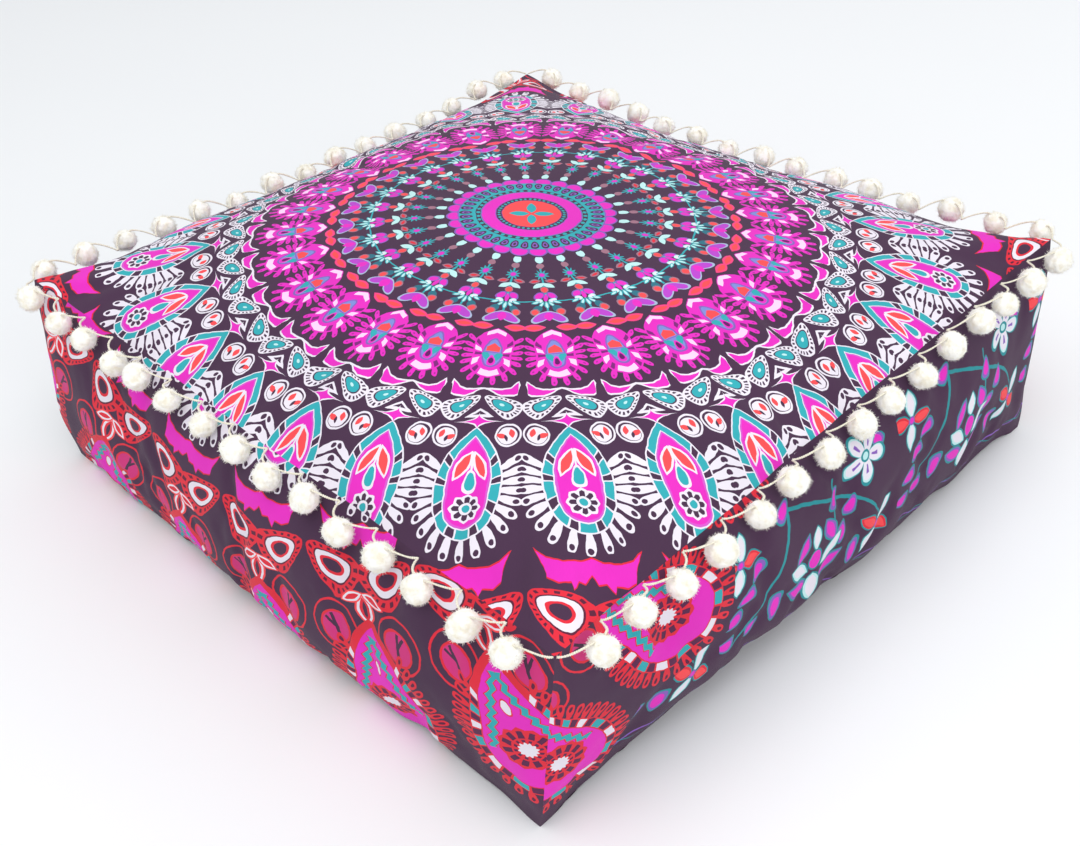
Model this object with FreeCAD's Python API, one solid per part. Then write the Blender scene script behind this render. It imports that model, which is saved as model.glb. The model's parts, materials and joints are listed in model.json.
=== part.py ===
import FreeCAD, Part
import math
import os

Vector = FreeCAD.Vector

# ---- Driving dimensions, in millimetres ----
# Cushion: the origin is under its middle, on the floor. Sides: front is -Y, right is +X.
TOP_SIDE = 610.0
BASE_NARROWER = 4.0
BASE_SIDE = TOP_SIDE - BASE_NARROWER
CORNER_HEIGHT = 180.0
CROWN_HEIGHT = 232.0
CROWN_FULLNESS = 0.6
SIDES = ("front", "right", "back", "left")
SEAM_DROOP = {"front": 4.0, "right": 8.0, "back": 16.0, "left": 10.0}
SEAM_PULL = 4.0
BASE_BOW = 8.0
SIDE_BULGE = 14.0
CORNER_BULGE = 5.0
# A soft side swells as a parabola. The side with the zip is held straight by it.
SIDE_POWER = {"front": 2, "right": 2, "back": 8, "left": 2}

# Layers of the cushion, measured inwards from the printed face.
CLOTH = 1.0
LINING = 0.6
LINING_DEPTH = 2.4
SEAM_GAP = 0.3
FILL_GAP = 0.3

# Pom-pom trim: tacks along the top seam, one pom-pom between two tacks.
POMS_PER_SIDE = 15
ROWS_PER_SIDE = 3
POM_DIAMETER = 21.0
POM_DROP = 7.0
POM_CLEARANCE = 0.5
CORD_DIAMETER = 1.6
CORD_FIT = 0.1
CORD_BEND = 5.0
CORD_TACK_OUT = 1.8
CORD_TACK_DROP = 0.4
CORD_TACK_GAP = 1.2
CORD_DEPTH_IN_POM = 2.6

# Zip in the back side.
ZIP_LENGTH = 400.0
ZIP_WINDOW = 12.0
TAPE_WIDTH = 15.0
TAPE_THICKNESS = 0.6
LAYER_GAP = 0.1
COIL_WIDTH = 1.8
COIL_HEIGHT = 1.5
COIL_GAP = 0.2
STOP_LENGTH = 2.0
SLIDER_LENGTH = 12.0
SLIDER_WIDTH = 9.0
SLIDER_PLATE = 1.2
SLIDER_CLEARANCE = 0.6
BAIL_POST = 1.2
BAIL_WIDTH = 2.0
BAIL_BAR = 1.0
BAIL_OPENING_LENGTH = 4.8
PULL_THICKNESS = 1.2
PULL_CLEARANCE = 0.4
PULL_ARM = 1.1
PULL_LENGTH = 28.0
PULL_WIDTH = 7.0
PULL_HOLE = 3.0

# Making: pieces that are fused or cut run into each other this far, and lengths and
# directions nearer than these are the same.
OVERLAP = 1.0
SAME_LENGTH = 0.01
SAME_DIRECTION = 0.99


# ---- Shape of the cushion ----
# A side is drawn in its own directions: along it, out from the middle, and up.
# u runs from -1 to 1 along it, w from 0 at the top seam to 1 at the floor, and depth is
# how far inside the printed face a layer lies. Everything is a polynomial in u and w.

def side_local(side, u, w, depth):
    power = SIDE_POWER[side]
    top = TOP_SIDE / 2 - depth
    base = BASE_SIDE / 2 - depth
    belly = 1 - u ** power
    sag = 1 - u * u
    swell = 4 * w * (1 - w)
    along = u * (top * (1 - w) + base * w + CORNER_BULGE * swell)
    out = (top - SEAM_PULL * sag) * (1 - w) + (base + BASE_BOW * belly) * w
    out += (CORNER_BULGE + SIDE_BULGE * belly) * swell
    up = (CORNER_HEIGHT - depth) * (1 - w) + depth * w
    up -= SEAM_DROOP[side] * sag * (1 - w) ** 3
    return along, out, up


def turned(side, along, out, up):
    if side == "front":
        return Vector(along, -out, up)
    if side == "right":
        return Vector(out, along, up)
    if side == "back":
        return Vector(-along, out, up)
    return Vector(-out, -along, up)


def side_point(side, u, w, depth):
    return turned(side, *side_local(side, u, w, depth))


def w_at_height(side, u, height):
    """Where a side's printed face comes to this height: found by halving."""
    low, high = 0, 1
    while high - low > SAME_LENGTH / CORNER_HEIGHT:
        middle = (low + high) / 2
        if side_local(side, u, middle, 0)[2] > height:
            low = middle
        else:
            high = middle
    return high


def cap_point(w, u, v, depth):
    """A point of the sheet that spans the four sides' edges at w."""
    front = side_point("front", u, w, depth)
    back = side_point("back", -u, w, depth)
    right = side_point("right", v, w, depth)
    left = side_point("left", -v, w, depth)
    point = front * ((1 - v) / 2) + back * ((1 + v) / 2)
    point += right * ((1 + u) / 2) + left * ((1 - u) / 2)
    for corner_u in (-1, 1):
        for corner_v in (-1, 1):
            corner = side_point("front" if corner_v < 0 else "back", corner_u * -corner_v, w, depth)
            point -= corner * ((1 + corner_u * u) / 2 * (1 + corner_v * v) / 2)
    return point


def base_point(u, v, depth):
    return cap_point(1, u, v, depth)


def crown_point(u, v, depth):
    point = cap_point(0, u, v, depth)
    rise = CROWN_HEIGHT - depth - cap_point(0, 0, 0, depth).z
    dome = (1 - u * u) * (1 - v * v) * (1 + CROWN_FULLNESS * (u * u + v * v))
    return point + Vector(0, 0, rise * dome)


# ---- Surfaces and solids ----

def bernstein(degree, index, t):
    return math.comb(degree, index) * t ** index * (1 - t) ** (degree - index)


def solved(matrix, rows):
    """Gauss-Jordan elimination: the rows that give these rows through the matrix."""
    size = len(matrix)
    matrix = [list(line) for line in matrix]
    rows = [list(line) for line in rows]
    for step in range(size):
        pivot = max(range(step, size), key=lambda line: abs(matrix[line][step]))
        matrix[step], matrix[pivot] = matrix[pivot], matrix[step]
        rows[step], rows[pivot] = rows[pivot], rows[step]
        for line in range(size):
            if line != step:
                factor = matrix[line][step] / matrix[step][step]
                matrix[line] = [a - factor * b for a, b in zip(matrix[line], matrix[step])]
                rows[line] = [a - b * factor for a, b in zip(rows[line], rows[step])]
    return [[value * (1 / matrix[line][line]) for value in rows[line]] for line in range(size)]


def bernstein_table(degree):
    return [[bernstein(degree, j, i / degree) for j in range(degree + 1)] for i in range(degree + 1)]


def patch(point, u_degree, v_degree):
    """The face of a polynomial point(s, t), s and t from 0 to 1, exactly."""
    samples = [[point(i / u_degree, j / v_degree) for j in range(v_degree + 1)]
               for i in range(u_degree + 1)]
    by_u = solved(bernstein_table(u_degree), samples)
    flipped = [list(column) for column in zip(*by_u)]
    by_v = solved(bernstein_table(v_degree), flipped)
    poles = [list(column) for column in zip(*by_v)]
    surface = Part.BSplineSurface()
    surface.buildFromPolesMultsKnots(
        poles, (u_degree + 1, u_degree + 1), (v_degree + 1, v_degree + 1),
        (0.0, 1.0), (0.0, 1.0), False, False, u_degree, v_degree)
    return surface.toShape()


def closed_solid(faces):
    shell = Part.makeShell(faces)
    shell.sewShape()
    solid = Part.makeSolid(shell)
    if solid.Volume < 0:
        solid.reverse()
    return solid


def level(face):
    """The flat face inside a level patch's edges."""
    edges = [edge.Curve.toShape(*edge.ParameterRange) for edge in face.OuterWire.OrderedEdges]
    return Part.Face(Part.Wire(edges))


def skin(point, u_range, v_range, depths, degrees, finish=lambda face: face):
    """A thin solid between two layers of point(u, v, depth), their faces through finish."""
    def layer(s, t, d):
        u = u_range[0] + (u_range[1] - u_range[0]) * s
        v = v_range[0] + (v_range[1] - v_range[0]) * t
        return point(u, v, depths[0]) * (1 - d) + point(u, v, depths[1]) * d

    u_degree, v_degree = degrees
    faces = [finish(patch(lambda s, t, d=d: layer(s, t, d), u_degree, v_degree)) for d in (0, 1)]
    faces += [patch(lambda s, d, t=t: layer(s, t, d), u_degree, 1) for t in (0, 1)]
    faces += [patch(lambda t, d, s=s: layer(s, t, d), v_degree, 1) for s in (0, 1)]
    return closed_solid(faces)


SIDE_DEGREES = {side: (SIDE_POWER[side], 3) for side in SIDES}
CAP_DEGREE = max(4, *SIDE_POWER.values())


def side_skin(side, u_range, w_range, depths):
    return skin(lambda u, w, d: side_point(side, u, w, d), u_range, w_range, depths,
                SIDE_DEGREES[side])


def cushion_block(depth):
    """The whole cushion as one closed solid, at this depth inside the printed face."""
    def spread(point):
        return lambda s, t: point(2 * s - 1, 2 * t - 1, depth)

    faces = [patch(spread(crown_point), CAP_DEGREE, CAP_DEGREE),
             level(patch(spread(base_point), CAP_DEGREE, CAP_DEGREE))]
    for side in SIDES:
        faces.append(patch(lambda s, t, side=side: side_point(side, 2 * s - 1, t, depth),
                           *SIDE_DEGREES[side]))
    return closed_solid(faces)


def box_between(low, high):
    return Part.makeBox(high.x - low.x, high.y - low.y, high.z - low.z, low)


# ---- Cover ----

def side_panel(side):
    end = 1 - SEAM_GAP / TOP_SIDE
    edge = SEAM_GAP / CORNER_HEIGHT
    return side_skin(side, (-end, end), (edge, 1 - edge), (0, CLOTH))


def widest_height(side, u):
    """Where a swelling side stands upright: found by narrowing in on its widest place."""
    low, high = 0, 1
    while high - low > SAME_LENGTH / CORNER_HEIGHT:
        third = (high - low) / 3
        if side_local(side, u, low + third, 0)[1] < side_local(side, u, high - third, 0)[1]:
            low += third
        else:
            high -= third
    return side_local(side, u, (low + high) / 2, 0)[2]


# The zip runs where the swelling side is upright, so its slider lies flat on it. The side
# droops a little along the run, so heights are taken midway to the zip's end.
ZIP_MIDWAY = ZIP_LENGTH / 4 / (TOP_SIDE / 2)
ZIP_HEIGHT = math.ceil(widest_height("back", ZIP_MIDWAY))


def zip_window():
    half = ZIP_LENGTH / 2 + STOP_LENGTH + SEAM_GAP
    out = side_local("back", 0, zip_w(ZIP_HEIGHT), 0)[1]
    low = Vector(-half, out - TAPE_WIDTH, ZIP_HEIGHT - ZIP_WINDOW / 2)
    high = Vector(half, out + TAPE_WIDTH, ZIP_HEIGHT + ZIP_WINDOW / 2)
    return box_between(low, high)


def top_panel():
    return skin(crown_point, (-1, 1), (-1, 1), (0, CLOTH), (CAP_DEGREE, CAP_DEGREE))


def bottom_panel():
    return skin(base_point, (-1, 1), (-1, 1), (0, CLOTH), (CAP_DEGREE, CAP_DEGREE), level)


# ---- Zip: built in the back side's own directions, on a straight run ----

COIL_DEPTH = CLOTH - COIL_HEIGHT


def zip_w(height):
    return w_at_height("back", ZIP_MIDWAY, height)


def zip_u(along):
    return along / side_local("back", 1, zip_w(ZIP_HEIGHT), COIL_DEPTH)[0]


def upright_edges(shape):
    """The edges that stand out from the back side."""
    return [edge for edge in shape.Edges
            if abs(edge.tangentAt(edge.FirstParameter).y) > SAME_DIRECTION]


def zip_tape(lower, upper):
    half = zip_u(ZIP_LENGTH / 2 + TAPE_WIDTH)
    depth = CLOTH + LAYER_GAP
    return side_skin("back", (-half, half), (zip_w(upper), zip_w(lower)),
                     (depth, depth + TAPE_THICKNESS))


def zip_coil(lower, upper):
    half = zip_u(ZIP_LENGTH / 2)
    return side_skin("back", (-half, half), (zip_w(upper), zip_w(lower)),
                     (COIL_DEPTH, CLOTH))


COIL_FACE = side_local("back", 0, zip_w(ZIP_HEIGHT), COIL_DEPTH)[1]
SLIDER_START = ZIP_LENGTH / 2 - SLIDER_LENGTH / 2 - SLIDER_CLEARANCE
SLIDER_TRAVEL = 2 * SLIDER_START
PLATE_BASE = COIL_FACE + SLIDER_CLEARANCE
PLATE_FACE = PLATE_BASE + SLIDER_PLATE
PIVOT_OUT = PLATE_FACE + PULL_CLEARANCE + PULL_THICKNESS / 2
BAIL_BASE = PIVOT_OUT + PULL_THICKNESS / 2 + PULL_CLEARANCE


def zip_box(along, out, up):
    """A box on the back side, from (low, high) pairs in the side's own directions."""
    return box_between(Vector(-along[1], out[0], ZIP_HEIGHT + up[0]),
                       Vector(-along[0], out[1], ZIP_HEIGHT + up[1]))


def zip_stops():
    width = COIL_WIDTH + COIL_GAP / 2
    stops = []
    for end in (-1, 1):
        middle = end * (ZIP_LENGTH / 2 + STOP_LENGTH / 2 + LAYER_GAP)
        along = (middle - STOP_LENGTH / 2, middle + STOP_LENGTH / 2)
        stops.append(zip_box(along, (COIL_FACE - COIL_HEIGHT + LAYER_GAP, COIL_FACE), (-width, width)))
    return Part.makeCompound(stops)


def zip_slider():
    length = (SLIDER_START - SLIDER_LENGTH / 2, SLIDER_START + SLIDER_LENGTH / 2)
    half = SLIDER_WIDTH / 2
    inside = COIL_WIDTH + COIL_GAP / 2 + SLIDER_CLEARANCE
    flange_base = COIL_FACE - COIL_HEIGHT + SLIDER_CLEARANCE
    body = zip_box(length, (PLATE_BASE, PLATE_FACE), (-half, half))
    for flange in ((-half, -inside), (inside, half)):
        body = body.fuse(zip_box(length, (flange_base, PLATE_FACE), flange))
    corners = [edge for edge in upright_edges(body)
               if abs(abs(edge.CenterOfMass.z - ZIP_HEIGHT) - half) < SAME_LENGTH]
    body = body.makeFillet(SLIDER_PLATE, corners)
    reach = BAIL_OPENING_LENGTH / 2 + BAIL_POST
    outer = zip_box((SLIDER_START - reach, SLIDER_START + reach),
                    (PLATE_FACE, BAIL_BASE + BAIL_BAR), (-BAIL_WIDTH / 2, BAIL_WIDTH / 2))
    opening = zip_box((SLIDER_START - reach + BAIL_POST, SLIDER_START + reach - BAIL_POST),
                      (PLATE_FACE, BAIL_BASE), (-BAIL_WIDTH, BAIL_WIDTH))
    return body.fuse(outer.cut(opening)).removeSplitter()


def zip_pull():
    inside = BAIL_WIDTH / 2 + PULL_CLEARANCE
    outside = inside + PULL_ARM
    thick = (PIVOT_OUT - PULL_THICKNESS / 2, PIVOT_OUT + PULL_THICKNESS / 2)
    bridge = BAIL_OPENING_LENGTH / 2 + BAIL_POST + PULL_CLEARANCE * 2
    pin = Part.makeCylinder(PULL_THICKNESS / 2, 2 * outside,
                            Vector(-SLIDER_START, PIVOT_OUT, ZIP_HEIGHT - outside))
    pull = pin
    for arm in ((-outside, -inside), (inside, outside)):
        pull = pull.fuse(zip_box((SLIDER_START - bridge - OVERLAP, SLIDER_START), thick, arm))
    plate = zip_box((SLIDER_START - PULL_LENGTH, SLIDER_START - bridge), thick,
                    (-PULL_WIDTH / 2, PULL_WIDTH / 2))
    plate = plate.makeFillet(PULL_WIDTH / 4, upright_edges(plate))
    hole_at = Vector(PULL_LENGTH - SLIDER_START - PULL_WIDTH / 2, thick[0] - OVERLAP, ZIP_HEIGHT)
    hole = Part.makeCylinder(PULL_HOLE / 2, PULL_THICKNESS + 2 * OVERLAP, hole_at, Vector(0, 1, 0))
    return pull.fuse(plate).cut(hole).removeSplitter()


# ---- Pom-pom trim: master pieces, then copies between the tacks ----
# A master lies with X along the seam, Y out from the cushion, and its origin midway
# between two tacks.

PITCH = TOP_SIDE / POMS_PER_SIDE
POM_RADIUS = POM_DIAMETER / 2


def panel_reach(side, u, depth):
    """How far a side stands out from its seam, this far below it."""
    _, seam_out, seam_up = side_local(side, u, 0, 0)
    return side_local(side, u, w_at_height(side, u, seam_up - depth), 0)[1] - seam_out


def pom_out():
    """How far out a pom-pom hangs to clear every side, at every place along it."""
    needed = []
    for side in SIDES:
        for index in range(POMS_PER_SIDE):
            u = (2 * index + 1) / POMS_PER_SIDE - 1
            reach = panel_reach(side, u, POM_DROP)
            slope = (reach - panel_reach(side, u, POM_DROP / 2)) / (POM_DROP / 2)
            needed.append(reach + (POM_RADIUS + POM_CLEARANCE) * math.hypot(1, slope))
    return max(needed)


POM_CENTRE = Vector(0, pom_out(), -POM_DROP)
TO_SEAM = POM_CENTRE * (-1 / POM_CENTRE.Length)
BORE = POM_CENTRE + TO_SEAM * (POM_RADIUS - CORD_DEPTH_IN_POM)


def master_pom():
    ball = Part.makeSphere(POM_RADIUS, POM_CENTRE)
    bore = Part.makeCylinder(CORD_DIAMETER / 2 + CORD_FIT, PITCH,
                             BORE - Vector(PITCH / 2, 0, 0), Vector(1, 0, 0))
    return ball.cut(bore)


def rounded_path(points, radius):
    """Straight runs joined by tangent arcs of this radius."""
    edges = []
    start = points[0]
    for before, corner, after in zip(points, points[1:], points[2:]):
        back = (before - corner).normalize()
        ahead = (after - corner).normalize()
        half = back.getAngle(ahead) / 2
        leg = radius / math.tan(half)
        middle = (back + ahead).normalize()
        deep = corner + middle * (radius / math.sin(half) - radius)
        edges.append(Part.LineSegment(start, corner + back * leg).toShape())
        edges.append(Part.Arc(corner + back * leg, deep, corner + ahead * leg).toShape())
        start = corner + ahead * leg
    edges.append(Part.LineSegment(start, points[-1]).toShape())
    return Part.Wire(edges)


def master_cord():
    tack = Vector(PITCH / 2 - CORD_TACK_GAP, CORD_TACK_OUT, -CORD_TACK_DROP)
    bore_half = math.sqrt(POM_RADIUS ** 2 - (POM_RADIUS - CORD_DEPTH_IN_POM) ** 2)
    turn = BORE + Vector(bore_half + CORD_BEND / 2, 0, 0)
    points = [Vector(-tack.x, tack.y, tack.z), Vector(-turn.x, turn.y, turn.z), turn, tack]
    path = rounded_path(points, CORD_BEND)
    run = (points[1] - points[0]).normalize()
    circle = Part.Wire(Part.makeCircle(CORD_DIAMETER / 2, points[0], run))
    cord = path.makePipeShell([circle], True, True)
    section = math.pi * (CORD_DIAMETER / 2) ** 2
    print("cord: length %.1f, volume over section times length %.4f"
          % (path.Length, cord.Volume / (section * path.Length)))
    return cord


def seam_point(side, tack):
    return side_point(side, 2 * tack / POMS_PER_SIDE - 1, 0, 0)


def between_tacks(shape, side, index):
    """A master's copy, between one tack and the next."""
    first, second = seam_point(side, index), seam_point(side, index + 1)
    along = (first - second).normalize()
    out = Vector(0, 0, 1).cross(along).normalize()
    up = along.cross(out)
    middle = (first + second) * 0.5
    return shape.transformed(FreeCAD.Matrix(
        along.x, out.x, up.x, middle.x,
        along.y, out.y, up.y, middle.y,
        along.z, out.z, up.z, middle.z,
        0, 0, 0, 1))


def row_tacks(row):
    per_row = POMS_PER_SIDE // ROWS_PER_SIDE
    return range((row - 1) * per_row, row * per_row)


def trim_row(master, side, row):
    return Part.makeCompound([between_tacks(master, side, index) for index in row_tacks(row)])


# ---- All pieces ----

def build():
    nodes = {"top_panel": top_panel(), "bottom_panel": bottom_panel()}
    for side in SIDES:
        nodes[side + "_side_panel"] = side_panel(side)
    nodes["back_side_panel"] = nodes["back_side_panel"].cut(zip_window())

    lining_inside = cushion_block(LINING_DEPTH + LINING)
    nodes["inner_bag"] = cushion_block(LINING_DEPTH).cut(lining_inside)
    nodes["filling"] = cushion_block(LINING_DEPTH + LINING + FILL_GAP)

    middle = COIL_GAP / 2
    nodes["zip_tape_upper"] = zip_tape(ZIP_HEIGHT + middle, ZIP_HEIGHT + TAPE_WIDTH)
    nodes["zip_tape_lower"] = zip_tape(ZIP_HEIGHT - TAPE_WIDTH, ZIP_HEIGHT - middle)
    nodes["zip_coil_upper"] = zip_coil(ZIP_HEIGHT + middle, ZIP_HEIGHT + middle + COIL_WIDTH)
    nodes["zip_coil_lower"] = zip_coil(ZIP_HEIGHT - middle - COIL_WIDTH, ZIP_HEIGHT - middle)
    nodes["zip_end_stops"] = zip_stops()
    nodes["zip_slider"] = zip_slider()
    nodes["zip_pull"] = zip_pull()

    pom, cord = master_pom(), master_cord()
    for side in SIDES:
        for row in range(1, ROWS_PER_SIDE + 1):
            nodes["%s_poms_%d" % (side, row)] = trim_row(pom, side, row)
            nodes["%s_pom_cord_%d" % (side, row)] = trim_row(cord, side, row)
    return nodes


os.makedirs("parts", exist_ok=True)
for name, shape in build().items():
    shape.exportStep("parts/%s.step" % name)
    print("%-22s solids %2d  valid %s  volume %.0f"
          % (name, len(shape.Solids), shape.isValid(), shape.Volume))
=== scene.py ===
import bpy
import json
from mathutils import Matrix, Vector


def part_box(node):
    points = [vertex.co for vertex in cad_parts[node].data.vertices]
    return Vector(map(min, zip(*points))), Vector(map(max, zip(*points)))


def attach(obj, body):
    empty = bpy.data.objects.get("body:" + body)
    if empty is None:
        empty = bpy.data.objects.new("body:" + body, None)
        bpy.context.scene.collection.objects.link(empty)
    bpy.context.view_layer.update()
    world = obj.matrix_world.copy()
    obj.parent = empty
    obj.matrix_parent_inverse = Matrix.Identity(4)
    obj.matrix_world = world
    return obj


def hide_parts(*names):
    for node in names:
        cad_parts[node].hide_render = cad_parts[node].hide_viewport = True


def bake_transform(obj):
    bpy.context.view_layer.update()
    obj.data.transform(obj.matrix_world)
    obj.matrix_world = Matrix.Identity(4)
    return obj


bl_info = {
    "name": "Floor cushion with pom-pom trim",
    "version": (1, 0, 0),
    "blender": (4, 5, 0),
    "location": "3D View > Sidebar > Cushion",
    "description": "Sews a printed floor cushion with a pom-pom trim around its packed frame",
    "category": "Add Mesh",
}

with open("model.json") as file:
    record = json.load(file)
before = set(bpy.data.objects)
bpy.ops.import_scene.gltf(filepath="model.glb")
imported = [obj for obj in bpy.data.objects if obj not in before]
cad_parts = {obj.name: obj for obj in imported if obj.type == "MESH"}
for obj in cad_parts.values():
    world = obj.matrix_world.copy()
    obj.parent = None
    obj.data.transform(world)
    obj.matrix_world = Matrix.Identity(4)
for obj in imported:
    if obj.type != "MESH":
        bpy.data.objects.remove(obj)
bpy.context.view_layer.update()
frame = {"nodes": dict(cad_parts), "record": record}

import json
import math
import random

import bmesh
import bpy
import numpy as np
from mathutils import Matrix, Vector, noise

# ---- Shape of the cushion, in metres: the same polynomials as the frame's own panels ----
SIDES = ("front", "right", "back", "left")
TOP_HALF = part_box("top_panel")[1][0]
CROWN_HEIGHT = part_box("top_panel")[1][2]
BASE_HALF = 0.303
CORNER_HEIGHT = 0.180
CROWN_FULLNESS = 0.6
SEAM_DROOP = {"front": 0.004, "right": 0.008, "back": 0.016, "left": 0.010}
SEAM_PULL = 0.004
BASE_BOW = 0.008
SIDE_BULGE = 0.014
CORNER_BULGE = 0.005
SIDE_POWER = {"front": 2, "right": 2, "back": 8, "left": 2}
SIDE_LENGTH = 2 * TOP_HALF

# A hand-sewn cushion isn't quite square: how far each corner stands from its place.
TOP_SHIFT = {(1, -1): (0.0064, 0.0015, -0.0033), (-1, -1): (0, 0.0049, 0.0031),
             (1, 1): (-0.0044, 0.0027, 0.0075), (-1, 1): (-0.0038, -0.0092, -0.0090)}
BASE_SHIFT = {(1, -1): (-0.0086, -0.0043, 0), (-1, -1): (0.0004, -0.0042, 0),
              (1, 1): (0.0100, -0.0043, 0), (-1, 1): (0, 0, 0)}

# Zip, from the frame.
ZIP_LOW, ZIP_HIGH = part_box("zip_coil_lower")[0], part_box("zip_coil_upper")[1]
ZIP_MIDDLE = (ZIP_LOW[2] + ZIP_HIGH[2]) / 2
ZIP_STILL = 0.030

POMS_PER_SIDE = 15
ROWS_PER_SIDE = 3


def side_local(side, u, w):
    power = SIDE_POWER[side]
    belly = 1 - np.abs(u) ** power
    sag = 1 - u * u
    swell = 4 * w * (1 - w)
    along = u * (TOP_HALF * (1 - w) + BASE_HALF * w + CORNER_BULGE * swell)
    out = (TOP_HALF - SEAM_PULL * sag) * (1 - w) + (BASE_HALF + BASE_BOW * belly) * w
    out = out + (CORNER_BULGE + SIDE_BULGE * belly) * swell
    up = CORNER_HEIGHT * (1 - w) - SEAM_DROOP[side] * sag * (1 - w) ** 3
    return along, out, up


def turned(side, along, out, up):
    if side == "front":
        return np.stack((along, -out, up), -1)
    if side == "right":
        return np.stack((out, along, up), -1)
    if side == "back":
        return np.stack((-along, out, up), -1)
    return np.stack((-out, -along, up), -1)


def side_point(side, u, w):
    u, w = np.broadcast_arrays(np.asarray(u, float), np.asarray(w, float))
    return turned(side, *side_local(side, u, w))


def cap_point(w, u, v):
    """Points of the sheet that spans the four sides' edges at w."""
    u, v = np.asarray(u, float), np.asarray(v, float)
    point = side_point("front", u, w) * ((1 - v) / 2)[..., None]
    point = point + side_point("back", -u, w) * ((1 + v) / 2)[..., None]
    point = point + side_point("right", v, w) * ((1 + u) / 2)[..., None]
    point = point + side_point("left", -v, w) * ((1 - u) / 2)[..., None]
    for corner_u in (-1, 1):
        for corner_v in (-1, 1):
            corner = side_point("front" if corner_v < 0 else "back", -corner_u * corner_v, w)
            share = (1 + corner_u * u) / 2 * (1 + corner_v * v) / 2
            point = point - corner * share[..., None]
    return point


def crown_point(u, v):
    u, v = np.asarray(u, float), np.asarray(v, float)
    point = cap_point(0, u, v)
    rise = CROWN_HEIGHT - cap_point(0, 0.0, 0.0)[2]
    dome = (1 - u * u) * (1 - v * v) * (1 + CROWN_FULLNESS * (u * u + v * v))
    point[..., 2] += rise * dome
    return point


def smooth(low, high, x):
    t = np.clip((x - low) / (high - low), 0, 1)
    return t * t * (3 - 2 * t)


def settled(points):
    """The points where the sewn cushion has them, with its corners out of square."""
    points = np.asarray(points, float)
    x = np.clip(points[..., 0] / TOP_HALF, -1.1, 1.1)
    y = np.clip(points[..., 1] / TOP_HALF, -1.1, 1.1)
    z = np.clip(points[..., 2] / CORNER_HEIGHT, 0, 1)
    shift = np.zeros_like(points)
    for shifts, share in ((TOP_SHIFT, z), (BASE_SHIFT, 1 - z)):
        for (at_x, at_y), move in shifts.items():
            weight = (1 + at_x * x) / 2 * (1 + at_y * y) / 2 * share
            shift += weight[..., None] * np.array(move)
    still = smooth(0.80, 0.97, points[..., 1] / TOP_HALF)
    still = still * (1 - smooth(0.72, 0.95, np.abs(x)))
    still = still * (1 - smooth(ZIP_STILL, 2.4 * ZIP_STILL, np.abs(points[..., 2] - ZIP_MIDDLE)))
    return points + shift * (1 - still)[..., None]


# ---- Add-on properties ----

class CushionSettings(bpy.types.PropertyGroup):
    fullness: bpy.props.FloatProperty(
        name="Fullness", description="How tight the filling is, from slack to tight",
        default=0.8, min=0, max=1, subtype="FACTOR")
    ease: bpy.props.FloatProperty(
        name="Ease", description="Spare cloth in the panels, which makes the soft wrinkles",
        default=0.014, min=0, max=0.05, subtype="FACTOR")
    give: bpy.props.FloatProperty(
        name="Give", description="How far the cloth may move from the pattern's shape",
        default=0.005, min=0, max=0.02, unit="LENGTH")
    pom_size: bpy.props.FloatProperty(
        name="Pom-pom size", description="Diameter of the wool in a pom-pom",
        default=0.0225, min=0.01, max=0.04, unit="LENGTH")
    cord_size: bpy.props.FloatProperty(
        name="Cord size", description="Thickness of the trim's cord",
        default=0.0021, min=0.0005, max=0.004, unit="LENGTH")


def ink_property(name, description, colour):
    return bpy.props.FloatVectorProperty(name=name, description=description, default=colour,
                                         size=3, min=0, max=1, subtype="COLOR")


class PrintColours(bpy.types.PropertyGroup):
    ground: ink_property("Ground", "Dyed cloth under the print", (0.066, 0.030, 0.066))
    magenta: ink_property("Magenta", "Magenta ink", (0.75, 0.028, 0.50))
    coral: ink_property("Coral", "Coral red ink", (0.90, 0.075, 0.085))
    red: ink_property("Red", "Red outline ink", (0.72, 0.028, 0.050))
    teal: ink_property("Teal", "Teal ink", (0.035, 0.38, 0.43))
    lilac: ink_property("Lilac", "Lilac ink", (0.24, 0.11, 0.46))
    mint: ink_property("Mint", "Pale mint ink", (0.50, 0.78, 0.78))
    white: ink_property("White", "White ink", (0.78, 0.73, 0.81))


INK_NAMES = ("ground", "magenta", "coral", "red", "teal", "lilac", "mint", "white")


def settings():
    return bpy.context.scene.cushion


def inks():
    group = bpy.context.scene.cushion_print
    return {name: tuple(getattr(group, name)) for name in INK_NAMES}


# ---- Node drawing: shapes painted one over another, as a screen print is ----

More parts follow.
